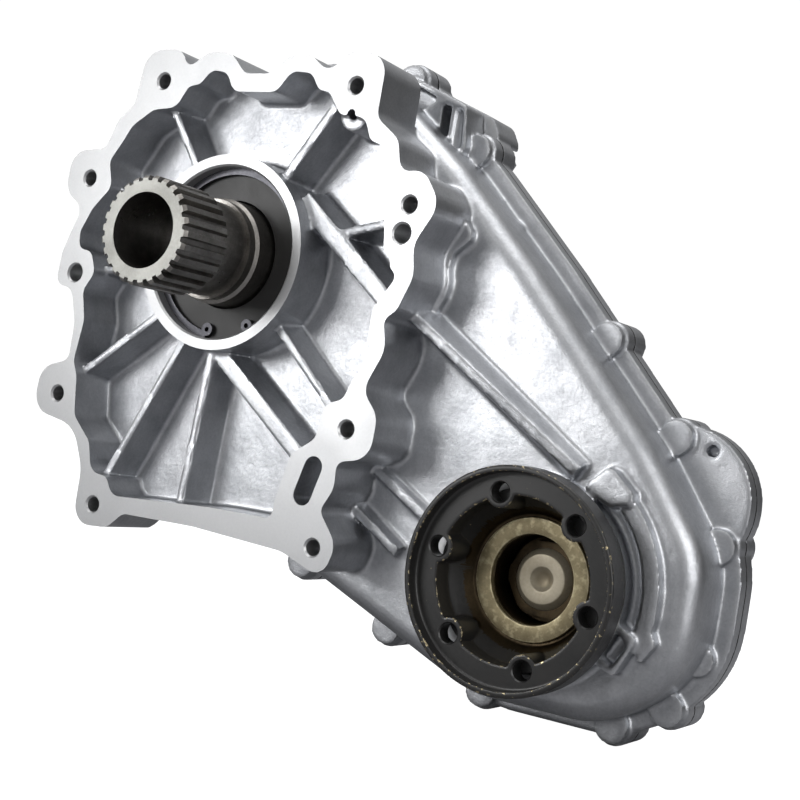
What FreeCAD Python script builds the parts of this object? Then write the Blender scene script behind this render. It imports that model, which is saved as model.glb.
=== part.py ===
import FreeCAD
import Part
import math
import os

# Chain-driven transfer case with a planetary centre differential.
# Millimetres. The origin is where the input axis meets the bell's mounting face,
# +X is to the right seen from the gearbox, +Y runs rearwards into the case, +Z is up.
# Every shaft lies along Y, so a turned part is given as (radius, y) corners.

# Bell housing: mounting flange and pocket.
POCKET_DEPTH = 28.0
FLOOR = 7.0
BELL_DEPTH = POCKET_DEPTH + FLOOR + 3.0
BELL_BOLT_R = 4.25
BELL_BOLT_DEPTH = 24.0
BELL_DOWEL_R = 5.0
BELL_DOWEL_DEPTH = 16.0
HOLE_CHAMFER = 1.0

# Corners (x, z, corner radius) of the flange's outer and inner edge, clockwise from top left.
BELL_OUTER = [
    (-77, 80, 8), (-73, 112, 13), (-47, 112, 10), (-42, 101, 6), (-28, 110.5, 14), (-12, 110, 12),
    (-1, 98.5, 8), (17, 98.5, 8), (28, 108.5, 12), (42, 108.5, 10), (55, 99, 8), (66, 110.5, 12),
    (90, 109, 14), (89, 76, 8), (104, 65, 10), (108, 48, 7), (122, 50, 12), (134, 33, 13),
    (122, 12, 14), (125, -4, 14), (118, -22, 10), (111, -27, 8), (115, -42, 16), (105, -64, 10),
    (116, -76, 12), (115, -98, 12), (96, -102, 5), (96.5, -116, 12), (90, -128, 5), (103, -144, 12),
    (97, -162, 13), (70, -152.5, 20), (10, -149.5, 40), (-40, -150.5, 8), (-50, -160, 10),
    (-76, -162, 15), (-75.5, -130, 25), (-86, -107, 20), (-120, -101, 13), (-118, -76, 13),
    (-98, -70, 6), (-97.5, -48, 25), (-104, -28, 8), (-117, -27, 9), (-115.5, -8, 9), (-112, 2, 20),
    (-105, 19, 8), (-120, 28, 12), (-119, 52, 12), (-94, 54, 7), (-87, 72, 14),
]
BELL_INNER = [
    (-62, 77.5, 10), (-46, 79, 10), (-39, 91, 5), (-31, 92.5, 6), (-24, 100.5, 7), (-13, 99, 7),
    (-7, 88.5, 8), (22, 88.5, 8), (31, 100, 7), (44, 99, 7), (50, 90, 6), (57, 89, 5), (66, 77, 6),
    (82, 76, 8), (87, 64, 6), (97, 61, 8), (104, 16, 20), (105, 8, 4), (110, 7, 4), (110, 0, 4),
    (115, -5, 5), (104, -22, 10), (103.5, -34, 8), (107, -46, 8), (98, -60, 8), (94, -70, 6),
    (83, -74, 8), (81, -92, 8), (67, -102, 8), (61, -128, 6), (61, -137, 5), (20, -137.5, 30),
    (-50, -142, 8), (-56, -132, 6), (-68, -131, 8), (-73, -114, 8), (-87, -101, 8), (-90, -78, 10),
    (-94, -70, 8), (-90.5, -46, 14), (-95, -29, 8), (-88, -18, 7), (-93, -6, 6), (-103, -5, 5),
    (-104, 5, 6), (-97, 19, 6), (-85, 32, 8), (-89.5, 47, 6), (-82, 58, 8), (-76, 68, 8),
]
BELL_BOLTS = [
    (-57.8, 93.9), (-102.8, 36.4), (-102.7, -90.1), (-63.1, -149.0), (88.7, -147.5), (98.6, -84.9),
    (116.1, 32.0), (73.0, 92.4),
]
BELL_DOWELS = [(-103.2, -19.2), (114.1, 17.2)]
SENSOR_BOSS = (72.9, 77.6)
SENSOR_BOSS_R = 8.5
SENSOR_BOSS_SETBACK = 2.5
SENSOR_HOLE_R = 2.6
SENSOR_HOLE_DEPTH = 14.0
SLOT_ENDS = [(82.1, -106.6), (77.9, -121.8)]
SLOT_R = 5.6
SLOT_DEPTH = 27.0

# Main boss in the bell, with the seats of the circlip, the oil seal and the front bearing.
MAIN_SEAT_R = 47.5
BOSS_WALL = 6.4
CIRCLIP_SETBACK = 7.0
CIRCLIP_THICK = 2.4
CIRCLIP_GROOVE = 1.8
CIRCLIP_BAND = 3.5
CIRCLIP_LUG_R = 3.6
CIRCLIP_LUG_DROP = 4.6
CIRCLIP_EYE_R = 1.3
CIRCLIP_LUGS_DEG = (-98.5, -62.0)
SEAL_GAP = 0.6
MAIN_SEAL_W = 10.0
MAIN_BEARING_W = 18.0
SHOULDER_W = 3.0
SHOULDER_STEP = 5.5

# Ribs on the pocket floor: start and end (x, z), depth of their top edge at each end,
# and their thickness at the top and at the floor.
POCKET_RIBS = [
    ((-39.1, -33.0), (-100.0, -81.0), 10.0, 7.0, 4.5, 9.0),
    ((-22.5, -46.5), (-66.5, -138.0), 10.0, 7.0, 4.5, 9.0),
    ((-3.5, -51.5), (-8.5, -142.5), 10.0, 8.0, 4.5, 14.0),
    ((-2.0, -52.0), (72.0, -108.5), 11.0, 10.0, 9.0, 15.0),
    ((37.5, -35.0), (99.0, -91.0), 10.0, 8.0, 4.5, 9.0),
    ((30.2, 41.5), (60.5, 83.5), 6.0, 3.0, 5.5, 9.0),
    ((42.0, 33.5), (108.0, -19.5), 11.0, 9.0, 10.0, 17.0),
    ((66.6, 16.2), (102.0, 23.5), 12.0, 8.0, 4.5, 9.0),
    ((-29.0, 42.5), (-56.5, 84.0), 9.0, 6.0, 4.5, 9.0),
    ((-48.5, 17.8), (-99.0, 35.5), 13.0, 9.0, 4.5, 9.0),
    ((-50.5, -8.5), (-99.0, -17.0), 13.0, 9.0, 4.5, 9.0),
]

# Chain housing: corners (x, z, corner radius) of its outer wall, clockwise from top left.
HOUSING_WALL = [
    (-62, 104, 60), (62, 108, 50), (118, 62, 40), (170, 10, 40), (246, -72, 60), (281, -120, 50),
    (280, -178, 50), (240, -209, 50), (168, -209, 60), (40, -156, 80), (-66, -100, 60),
    (-108, -30, 60), (-106, 60, 60),
]
HOUSING_FRONT = 38.0
HOUSING_SHOULDER_R = 11.0
WALL = 6.0
PARTING = 83.0
SEALANT_THICK = 0.4
FLANGE_LIP = 9.0
FRONT_FLANGE_T = 9.0
REAR_FLANGE_T = 10.0
REAR_LOBE_T = 15.0
CASE_LOBE_R = 10.5
CASE_BOSS_R = 8.8
CASE_BOSS_LENGTH = 14.0
CASE_BOLT_R = 4.0
CASE_BOLT_CLEAR = 0.3
CASE_BOLT_GRIP = 18.0
BOLT_HEAD_H = 7.0
BOLT_HEAD_FLATS = 13.0
BOLT_WASHER_R = 8.6
BOLT_WASHER_H = 1.8
CASE_BOLTS = [
    (137.6, 31.0), (203.0, -19.5), (247.5, -64.5), (276.5, -114.5), (274.0, -170.0),
    (262.5, -197.5), (235.5, -212.0), (161.0, -210.5), (98.0, -190.0), (36.0, -164.5),
    (-28.0, -130.5), (-86.0, -95.0), (-119.5, -22.0), (-114.0, 58.0), (-58.0, 112.0),
    (4.0, 115.0), (62.0, 114.5), (110.0, 76.0),
]
CASE_DOWELS = [(226.0, -42.5), (-104.0, -60.0)]
CASE_DOWEL_R = 3.0
CASE_DOWEL_LENGTH = 12.0
REAR_WALL = 111.0
REAR_SHOULDER_R = 9.0

# Cast lug at the upper right: its two halves, with the pocket, slot and groove in the front one.
LUG_FRONT = [
    (46, 98, 5), (51.5, 116.5, 9), (68, 114.5, 30), (89.5, 105.6, 20), (104.5, 99, 4), (107.4, 76.5, 3),
    (103.2, 66, 5), (106, 54, 4), (82, 60, 6),
]
LUG_REAR = [
    (38, 100, 6), (42, 121.5, 10), (58, 120, 30), (80, 110, 60), (110.5, 97.5, 9), (115.5, 88, 8),
    (114.5, 58, 6), (84, 60, 10),
]
LUG_LENGTH = 21.0
LUG_REAR_LENGTH = 26.0
LUG_POCKET = [(55, 111.5, 4), (59, 99, 6), (70, 92.5, 5), (87, 102.3, 2), (69, 110.6, 20), (60, 112.4, 5)]
LUG_POCKET_DEPTH = 14.0
LUG_SLOT = [(89.5, 99.5, 1.5), (95.5, 98, 1.5), (95.2, 76, 1.5), (90, 77, 1.5)]
LUG_SLOT_DEPTH = 12.0
LUG_GROOVE = [(98, 98, 1), (103, 96, 1), (104.6, 77.5, 1), (100.6, 67, 1), (97.3, 72, 1)]
LUG_GROOVE_DEPTH = 2.5

# Strengthening on the chain housing's front: ledge at the bell's foot, curved fin and ribs.
LEDGE = [
    (100, 30, 5), (128, 36, 6), (138, 23, 5), (127, 13, 5), (125.8, 6, 5), (127.3, -2.3, 5), (126, -9.6, 5),
    (119.5, -22.5, 3), (106, -19, 4),
]
LEDGE_H = 6.0
FIN = [
    (102.5, 79, 2), (99.5, 67, 8), (103.5, 56, 8), (112, 48, 8), (126, 41.5, 3), (132, 48.5, 2),
    (123.6, 55.5, 8), (112, 61, 10), (106, 70, 8), (105.2, 79, 1),
]
FIN_H = 13.0
LONG_RIB = ((112.0, -19.5), (214.0, -88.5), 18.0, 30.0, 5.0, 15.0)
SHORT_RIB = ((84.0, -121.0), (120.0, -144.5), 28.0, 31.0, 4.5, 9.0)
MIDDLE_RIB = ((96.0, -102.0), (150.0, -134.0), 33.0, 33.0, 4.5, 10.0)

# Front output boss, its curved rib and its cast pads, whose corners are measured from the output.
OUTPUT_BOSS_SETBACK = 29.0
ARC_RIB_R = 63.0
ARC_RIB_HALF = 4.6
ARC_RIB_HEIGHT = 7.0
ARC_RIB_FROM = -16.0
ARC_RIB_TO = 44.0
UPPER_PAD = [
    (25.5, 53.0, 2), (33.0, 60.3, 2.5), (37.0, 60.0, 2.5), (48.5, 49.9, 3), (48.0, 44.6, 2.5), (37.1, 41.6, 4),
    (22.6, 48.5, 2),
]
UPPER_PAD_H = 9.0
BOX_PAD = [(49.4, -10.8, 2), (61.0, -17.4, 2.5), (52.0, -36.6, 2.5), (40.3, -32.2, 2)]
BOX_PAD_H = 10.0
BOX_POCKET = [(50.4, -15.4, 1.5), (56.8, -21.3, 2), (49.8, -32.2, 2), (43.3, -28.8, 1.5)]
BOX_POCKET_DEPTH = 8.0
END_PAD = [(57.0, -12.5, 2), (66.4, -12.5, 2), (69.2, -18.5, 2.5), (61.5, -30.5, 2)]
END_PAD_H = 7.0
SIDE_HOLE = (265.7, -68.5)
SIDE_HOLE_R = 3.0
SIDE_HOLE_DEPTH = 12.0
SIDE_LOBE = (251.0, -95.0)
SIDE_LOBE_R = 38.0

# Chain drive.
CHAIN_PITCH = 11.1125
SPROCKET_TEETH = 28
CHAIN_PITCHES = 72
CHAIN_PLANE = 91.0
CHAIN_W = 20.0
LINK_REACH = 3.4
LINK_RISE = 0.5
LINK_HALF = 4.2
LINK_SHOULDER = 1.6
LINK_TOE = 2.4
LINK_CROTCH = 4.1
SPROCKET_W = 20.0
CHAIN_PACK_GAP = 0.3
SPROCKET_HUB_T = 6.0
SPROCKET_RIM_T = 10.0
WAIST_DEPTH = 3.0
TOOTH_ROOT_DROP = 5.0
TOOTH_TIP_DROP = 1.0
TOOTH_ROOT_HALF = 2.75
TOOTH_TIP_HALF = 1.35
CENTRE_DISTANCE = (CHAIN_PITCHES - SPROCKET_TEETH) * CHAIN_PITCH / 2.0
OUTPUT_DROP_DEG = 36.26

# Centre differential: double-pinion planetary set.
MODULE = 2.0
SUN_TEETH = 30
RING_TEETH = 60
PINION_TEETH = 12
PINION_PAIRS = 3
PRESSURE_DEG = 20.0
ADDENDUM = 0.78
DEDENDUM = 1.1
BACKLASH = 0.34
GEAR_W = 11.0
PINION_PIN_R = 4.5
CARRIER_PLATE = 4.5
CARRIER_RIM = 5.0
CARRIER_HUB_GAP = 1.0
DRUM_SPACE_R = 92.0
SPOTFACE_GAP = 0.7
GEAR_SIDE_GAP = 0.6
DRUM_WALL = 4.0
DRUM_WEB = 5.0
RING_WALL = 4.3

# Input shaft: each diameter is stepped from the one it passes through.
MAIN_BEARING_SECTION = 17.5
SEAL_LAND_STEP = 1.0
SPLINE_STEP = 1.5
SPLINE_TOOTH_H = 2.9
NECK_STEP = 1.1
INPUT_TUBE_WALL = 5.85
INPUT_SHOULDER_H = 5.0
SPLINE_TEETH = 26
SPLINE_NOSE = 63.0
SPLINE_RUNOUT = 30.0
SPLINE_CHAMFER = 1.6
INPUT_BORE_DEPTH = 68.0
CORE_SEAT_STEP = 1.25
CORE_SEAT_DEPTH = 8.0
CORE_PLUG_SETBACK = 1.0
CORE_PLUG_W = 6.0
CORE_PLUG_SHEET = 1.5
NECK_STEP_AT = -9.0

# Rear output shaft, rear bearing, flange and nut.
REAR_BEARING_R = 42.5
REAR_BEARING_SECTION = 20.0
REAR_BEARING_W = 19.0
PILOT_R = 12.0
PILOT_LENGTH = 18.0
REAR_SLEEVE_T = 3.5
REAR_SEAL_STEP = 4.5
REAR_SEAL_W = 9.0
REAR_SPLINE_STEP = 6.0
REAR_THREAD_STEP = 4.5
REAR_FLANGE_R = 55.0
REAR_FLANGE_DISC = 9.0
REAR_HUB_LENGTH = 27.0
REAR_PILOT_R = 30.0
REAR_PILOT_H = 4.0

# Front output shaft, its flange, bearings and seal.
FLANGE_RIM_R = 55.5
FLANGE_RIM_WALL = 3.0
FLANGE_RIM_PROUD = 4.6
FLANGE_FACE_SETBACK = 7.0
FLANGE_LUG_T = 9.0
FLANGE_WEB_T = 5.5
FLANGE_RING_IN = 41.0
FLANGE_PCD = 86.0
FLANGE_BOLTS = 6
FLANGE_HOLE_R = 5.0
FLANGE_LUG_R = 7.8
FLANGE_FIRST_HOLE_DEG = 107.0
FLANGE_HUB_STEP = 10.0
COLLAR_SEAT_STEP = 4.0
COLLAR_BAND = 8.5
COLLAR_T = 4.0
COLLAR_SETBACK = 30.0
SHAFT_END_SETBACK = 42.0
SHAFT_END_CHAMFER = 3.2
CENTRE_DRILL_R = 6.3
CENTRE_DRILL_DEPTH = 5.5
NUT_GAP = 1.5
NUT_SETBACK = 3.0
NUT_T = 7.0
NUT_COLLAR_STEP = 3.0
NUT_COLLAR_T = 2.0
NUT_HEX_STEP = 2.2
FRONT_BEARING_R = 42.5
FRONT_BEARING_SECTION = 20.0
FRONT_BEARING_W = 17.0
FRONT_SPLINE_STEP = 5.8
FRONT_THREAD_STEP = 1.0
FRONT_SEAL_STEP = 2.5
FRONT_SEAL_W = 11.0
OUTPUT_BOSS_WALL = 7.0
FRONT_TAIL_R = 15.0
TAIL_BEARING_R = 26.0
TAIL_BEARING_W = 12.0
TAIL_ROLLERS = 9

# Running clearance shared by every fit.
RUN = 0.05

# Bearings.
RACE_SHARE = 0.3
BALL_COUNT = 8
BALL_SHARE = 0.27
CAGE_T = 1.0

# Plugs, breather and magnet.
PLUG_R = 9.0
PLUG_HEAD_R = 13.0
PLUG_HEAD_H = 5.0
PLUG_HEX = 10.0
PLUG_WASHER_T = 1.5
PLUG_BOSS_R = 16.0
PLUG_BOSS_H = 5.0
FILL_PLUG = (128.0, -38.0)
DRAIN_PLUG = (230.5, -184.0)
BREATHER_X = -26.0
BREATHER_STEM_R = 4.0
BREATHER_CAP_R = 7.0
BREATHER_CAP_H = 9.0
MAGNET_DEG = 215.3
MAGNET_GAP = 1.3
MAGNET_R = 8.0
MAGNET_T = 4.0
REAR_RIB_T = 5.0
REAR_RIB_FOOT = 9.0
REAR_RIB_REACH = 99.0
TAIL_RIB_REACH = 66.0
REAR_RIBS_DEG = (60, 100, 140, 180, 220, 260)
LINK_RIBS_DEG = (-22, 0, 22)
LINK_RIB_LEAN = 1.6
TAIL_RIBS_DEG = (-120, -84, -14, 24, 62)

MAIN = (0.0, 0.0)
OUTPUT = (
    CENTRE_DISTANCE * math.cos(math.radians(OUTPUT_DROP_DEG)),
    -CENTRE_DISTANCE * math.sin(math.radians(OUTPUT_DROP_DEG)),
)
Y_AXIS = FreeCAD.Vector(0, 1, 0)

# Radii worked out from the bearings and gears above.
BOSS_R = MAIN_SEAT_R + BOSS_WALL
MAIN_BEARING_BORE_R = MAIN_SEAT_R - MAIN_BEARING_SECTION
SEAL_LAND_R = MAIN_BEARING_BORE_R - SEAL_LAND_STEP
SPLINE_TIP_R = MAIN_BEARING_BORE_R - SPLINE_STEP
SPLINE_ROOT_R = SPLINE_TIP_R - SPLINE_TOOTH_H
NECK_R = SPLINE_TIP_R - NECK_STEP
INPUT_BORE_R = SPLINE_ROOT_R - INPUT_TUBE_WALL
INPUT_SHOULDER_R = MAIN_BEARING_BORE_R + INPUT_SHOULDER_H
INNER_ORBIT = MODULE * (SUN_TEETH + PINION_TEETH) / 2.0
OUTER_ORBIT = MODULE * (RING_TEETH - PINION_TEETH) / 2.0
CARRIER_R = OUTER_ORBIT + PINION_PIN_R + CARRIER_RIM
CARRIER_HUB_R = INNER_ORBIT - PINION_PIN_R - CARRIER_HUB_GAP
RING_GEAR_R = MODULE * RING_TEETH / 2.0 + DEDENDUM * MODULE + RING_WALL
REAR_SHAFT_R = REAR_BEARING_R - REAR_BEARING_SECTION
REAR_SEAL_LAND_R = REAR_SHAFT_R + REAR_SLEEVE_T
REAR_SEAL_R = REAR_BEARING_R - REAR_SEAL_STEP
REAR_SPLINE_R = REAR_SHAFT_R - REAR_SPLINE_STEP
REAR_THREAD_R = REAR_SPLINE_R - REAR_THREAD_STEP
FRONT_SEAT_R = FRONT_BEARING_R - FRONT_BEARING_SECTION
FRONT_SPLINE_R = FRONT_SEAT_R - FRONT_SPLINE_STEP
FRONT_THREAD_R = FRONT_SPLINE_R - FRONT_THREAD_STEP
FRONT_SEAL_R = FRONT_BEARING_R + FRONT_SEAL_STEP
OUTPUT_BOSS_R = FRONT_SEAL_R + OUTPUT_BOSS_WALL
FLANGE_HUB_R = FRONT_SEAL_R - FLANGE_HUB_STEP
COLLAR_SEAT_R = FLANGE_HUB_R - COLLAR_SEAT_STEP
COLLAR_BORE_R = COLLAR_SEAT_R - COLLAR_BAND
FRONT_NUT_R = COLLAR_BORE_R - NUT_GAP
MAGNET_ORBIT = FRONT_BEARING_R + WALL + MAGNET_R + MAGNET_GAP

# Stations along the shafts, worked out from the sizes above.
CIRCLIP_Y = CIRCLIP_SETBACK
MAIN_SEAL_Y = CIRCLIP_Y + CIRCLIP_THICK + SEAL_GAP
MAIN_BEARING_Y = MAIN_SEAL_Y + MAIN_SEAL_W + SEAL_GAP
MAIN_SHOULDER_Y = MAIN_BEARING_Y + MAIN_BEARING_W
MAIN_BOSS_END = MAIN_SHOULDER_Y + SHOULDER_W
WEB_Y = MAIN_BOSS_END + 1.5
PLATE_Y = WEB_Y + DRUM_WEB + GEAR_SIDE_GAP
GEAR_Y = PLATE_Y + CARRIER_PLATE + GEAR_SIDE_GAP
GEAR_END = GEAR_Y + GEAR_W
REAR_PLATE_Y = GEAR_END + GEAR_SIDE_GAP
REAR_PLATE_END = REAR_PLATE_Y + CARRIER_PLATE
DRUM_END = REAR_PLATE_Y + 2.0
CAVITY_Y = HOUSING_FRONT + WALL
SPROCKET_Y = CHAIN_PLANE - SPROCKET_W / 2.0
SPROCKET_END = CHAIN_PLANE + SPROCKET_W / 2.0
REAR_FACE = PARTING + SEALANT_THICK
REAR_CAVITY = REAR_WALL - WALL
REAR_BEARING_Y = SPROCKET_END + 5.0
REAR_SEAL_Y = REAR_BEARING_Y + REAR_BEARING_W + SHOULDER_W
REAR_BOSS_END = REAR_SEAL_Y + REAR_SEAL_W
REAR_HUB_Y = REAR_BEARING_Y + REAR_BEARING_W
REAR_DISC_Y = REAR_HUB_Y + REAR_HUB_LENGTH
REAR_DISC_END = REAR_DISC_Y + REAR_FLANGE_DISC
RIM_Y = FLANGE_RIM_PROUD
LUG_FACE_Y = RIM_Y + FLANGE_FACE_SETBACK
FLANGE_WEB_Y = LUG_FACE_Y + FLANGE_LUG_T
FLANGE_BACK_Y = FLANGE_WEB_Y + FLANGE_WEB_T
COLLAR_Y = RIM_Y + COLLAR_SETBACK
SHAFT_END_Y = RIM_Y + SHAFT_END_SETBACK
FRONT_BEARING_Y = SPROCKET_Y - 1.5 - FRONT_BEARING_W
FRONT_NUT_Y = SHAFT_END_Y + NUT_SETBACK
NUT_SEAT_Y = FRONT_NUT_Y + NUT_T
FRONT_SEAL_Y = FRONT_BEARING_Y - SHOULDER_W - FRONT_SEAL_W
TAIL_BEARING_Y = SPROCKET_END + 1.5
TAIL_BOSS_END = TAIL_BEARING_Y + TAIL_BEARING_W + WALL


def point(axis, radius, degrees, y=0.0):
    turn = math.radians(degrees)
    return FreeCAD.Vector(axis[0] + radius * math.cos(turn), y, axis[1] + radius * math.sin(turn))


def cylinder(axis, radius, y0, y1):
    return Part.makeCylinder(radius, y1 - y0, FreeCAD.Vector(axis[0], y0, axis[1]), Y_AXIS)


def tube(axis, outer, inner, y0, y1):
    return cylinder(axis, outer, y0, y1).cut(cylinder(axis, inner, y0 - 1, y1 + 1))


def turned(axis, profile):
    corners = [FreeCAD.Vector(axis[0] + r, y, axis[1]) for r, y in profile]
    face = Part.Face(Part.makePolygon(corners + corners[:1]))
    return face.revolve(FreeCAD.Vector(axis[0], 0, axis[1]), Y_AXIS, 360)


def prism(corners, y0, y1):
    points = [FreeCAD.Vector(x, y0, z) for x, z in corners]
    face = Part.Face(Part.makePolygon(points + points[:1]))
    return face.extrude(FreeCAD.Vector(0, y1 - y0, 0))


def rounded_wire(corners, y):
    """Closed outline of straight edges whose corners are arcs tangent to them."""
    count = len(corners)
    points = [FreeCAD.Vector(x, y, z) for x, z, _ in corners]
    trims = []
    for i in range(count):
        back = points[i - 1] - points[i]
        ahead = points[(i + 1) % count] - points[i]
        half = back.getAngle(ahead) / 2.0
        room = 0.48 * min(back.Length, ahead.Length)
        trims.append(min(corners[i][2] / math.tan(half), room))
    edges = []
    ends = []
    for i in range(count):
        back = FreeCAD.Vector(points[i - 1] - points[i]).normalize()
        ahead = FreeCAD.Vector(points[(i + 1) % count] - points[i]).normalize()
        start = points[i] + back * trims[i]
        end = points[i] + ahead * trims[i]
        half = back.getAngle(ahead) / 2.0
        radius = trims[i] * math.tan(half)
        inward = FreeCAD.Vector(back + ahead).normalize()
        middle = points[i] + inward * (radius / math.sin(half) - radius)
        ends.append((start, end))
        edges.append(Part.Arc(start, middle, end).toShape())
    outline = []
    for i in range(count):
        outline.append(edges[i])
        outline.append(Part.makeLine(ends[i][1], ends[(i + 1) % count][0]))
    return Part.Wire(outline)


def rounded_plate(corners, y0, y1, grow=0.0):
    face = Part.Face(rounded_wire(corners, y0))
    if grow:
        face = face.makeOffset2D(grow)
    return face.extrude(FreeCAD.Vector(0, y1 - y0, 0))


def rib(start, end, top_start, top_end, top_t, foot_t, foot_y):
    """Straight cast rib whose section is a trapezium, lofted between its two ends."""
    along = FreeCAD.Vector(end[0] - start[0], 0, end[1] - start[1]).normalize()
    side = FreeCAD.Vector(-along.z, 0, along.x)
    sections = []
    for place, top in ((start, top_start), (end, top_end)):
        centre = FreeCAD.Vector(place[0], 0, place[1])
        corners = [
            centre + side * (top_t / 2.0) + Y_AXIS * top,
            centre - side * (top_t / 2.0) + Y_AXIS * top,
            centre - side * (foot_t / 2.0) + Y_AXIS * foot_y,
            centre + side * (foot_t / 2.0) + Y_AXIS * foot_y,
        ]
        sections.append(Part.makePolygon(corners + corners[:1]))
    return Part.makeLoft(sections, True, True)


def front_edges(solid, y):
    """Edges that lie in the plane at y."""
    found = []
    for edge in solid.Edges:
        box = edge.BoundBox
        if abs(box.YMin - y) < 1e-6 and abs(box.YMax - y) < 1e-6:
            found.append(edge)
    return found


def chamfered_hole(place, radius, y0, y1):
    """Cutter for a hole that opens forwards at y0, with a small countersink."""
    mouth = radius + HOLE_CHAMFER
    return turned(place, [(0, y0 - 1), (mouth + 1, y0 - 1), (radius, y0 + HOLE_CHAMFER), (radius, y1), (0, y1)])


def involute(angle):
    return math.tan(angle) - angle


def half_tooth_angle(radius, teeth, thickness):
    """Half the angle that a tooth takes at a radius, for a thickness on the pitch circle."""
    pitch_r = MODULE * teeth / 2.0
    pressure = math.radians(PRESSURE_DEG)
    base_r = pitch_r * math.cos(pressure)
    local = math.acos(min(1.0, base_r / max(radius, base_r)))
    return thickness / (2.0 * pitch_r) + involute(pressure) - involute(local)


def gear_outline(teeth, phase_deg, axis):
    """Outline of an external gear; phase_deg is the direction of one tooth."""
    pitch_r = MODULE * teeth / 2.0
    thickness = math.pi * MODULE / 2.0 - BACKLASH
    steps = [
        (pitch_r - DEDENDUM * MODULE, -1), (pitch_r, -1), (pitch_r + ADDENDUM * MODULE, -1),
        (pitch_r + ADDENDUM * MODULE, 1), (pitch_r, 1), (pitch_r - DEDENDUM * MODULE, 1),
    ]
    corners = []
    for i in range(teeth):
        centre = math.radians(phase_deg) + 2 * math.pi * i / teeth
        for radius, side in steps:
            turn = centre + side * half_tooth_angle(radius, teeth, thickness)
            corners.append((axis[0] + radius * math.cos(turn), axis[1] + radius * math.sin(turn)))
    return corners


def ring_outline(teeth, phase_deg, axis):
    """Inside outline of the ring gear; phase_deg is the direction of one tooth space."""
    pitch_r = MODULE * teeth / 2.0
    thickness = math.pi * MODULE / 2.0 + BACKLASH / 2.0
    tip_r = pitch_r - ADDENDUM * MODULE
    root_r = pitch_r + DEDENDUM * MODULE
    corners = []
    for i in range(teeth):
        centre = math.radians(phase_deg) + 2 * math.pi * i / teeth
        for radius, side in ((tip_r, -1), (root_r, -1), (root_r, 1), (tip_r, 1)):
            turn = centre + side * half_tooth_angle(radius, teeth, thickness)
            corners.append((axis[0] + radius * math.cos(turn), axis[1] + radius * math.sin(turn)))
    return corners


def housing_wall(y0, y1, grow=0.0):
    return rounded_plate(HOUSING_WALL, y0, y1, grow)


def joint_flange(y0, y1, lobe_y0, lobe_y1):
    """Flange around the parting face, with a lobe at each bolt."""
    lobes = [cylinder(place, CASE_LOBE_R, lobe_y0, lobe_y1) for place in CASE_BOLTS]
    round_end = cylinder(SIDE_LOBE, SIDE_LOBE_R, y0, y1)
    return housing_wall(y0, y1, FLANGE_LIP).multiFuse(lobes + [round_end])


def arc_rib(y0, y1):
    """Rib that follows part of a circle around the front output."""
    inner = ARC_RIB_R - ARC_RIB_HALF
    outer = ARC_RIB_R + ARC_RIB_HALF
    middle = (ARC_RIB_FROM + ARC_RIB_TO) / 2.0
    edges = [
        Part.Arc(point(OUTPUT, inner, ARC_RIB_FROM, y0), point(OUTPUT, inner, middle, y0),
                 point(OUTPUT, inner, ARC_RIB_TO, y0)).toShape(),
        Part.makeLine(point(OUTPUT, inner, ARC_RIB_TO, y0), point(OUTPUT, outer, ARC_RIB_TO, y0)),
        Part.Arc(point(OUTPUT, outer, ARC_RIB_TO, y0), point(OUTPUT, outer, middle, y0),
                 point(OUTPUT, outer, ARC_RIB_FROM, y0)).toShape(),
        Part.makeLine(point(OUTPUT, outer, ARC_RIB_FROM, y0), point(OUTPUT, inner, ARC_RIB_FROM, y0)),
    ]
    return Part.Face(Part.Wire(edges)).extrude(FreeCAD.Vector(0, y1 - y0, 0))


def output_plate(corners, y0, y1):
    """Rounded plate whose corners are measured from the front output."""
    return rounded_plate([(OUTPUT[0] + x, OUTPUT[1] + z, r) for x, z, r in corners], y0, y1)


def off_oil_space(cutter):
    """Cutter that leaves at least half a wall in front of the oil space."""
    return cutter.cut(housing_wall(CAVITY_Y - WALL / 2.0, PARTING + 1, -WALL / 2.0))


def front_case_outside():
    """Bell, chain housing, joint flange, bolt bosses and outer strengthening."""
    housing = housing_wall(HOUSING_FRONT, PARTING)
    housing = housing.makeFillet(HOUSING_SHOULDER_R, front_edges(housing, HOUSING_FRONT))
    bell = rounded_plate(BELL_OUTER, 0, BELL_DEPTH)
    flange = joint_flange(PARTING - FRONT_FLANGE_T, PARTING, PARTING - FRONT_FLANGE_T, PARTING)
    pieces = [bell, flange]
    boss_y = PARTING - CASE_BOSS_LENGTH
    for place in CASE_BOLTS:
        pieces.append(cylinder(place, CASE_BOSS_R, boss_y, PARTING))
    pieces.append(rounded_plate(LUG_FRONT, PARTING - LUG_LENGTH, PARTING))
    pieces.append(rounded_plate(FIN, PARTING - FIN_H, PARTING))
    foot = HOUSING_FRONT + 2.0
    pieces.append(rounded_plate(LEDGE, HOUSING_FRONT - LEDGE_H, foot))
    for start, end, top_start, top_end, top_t, foot_t in (LONG_RIB, SHORT_RIB, MIDDLE_RIB):
        pieces.append(rib(start, end, top_start, top_end, top_t, foot_t, foot))
    pieces.append(cylinder(OUTPUT, OUTPUT_BOSS_R, OUTPUT_BOSS_SETBACK, foot))
    pieces.append(arc_rib(HOUSING_FRONT - ARC_RIB_HEIGHT, foot))
    for corners, height in ((UPPER_PAD, UPPER_PAD_H), (BOX_PAD, BOX_PAD_H), (END_PAD, END_PAD_H)):
        pieces.append(output_plate(corners, HOUSING_FRONT - height, foot))
    return housing.multiFuse(pieces)


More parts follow.
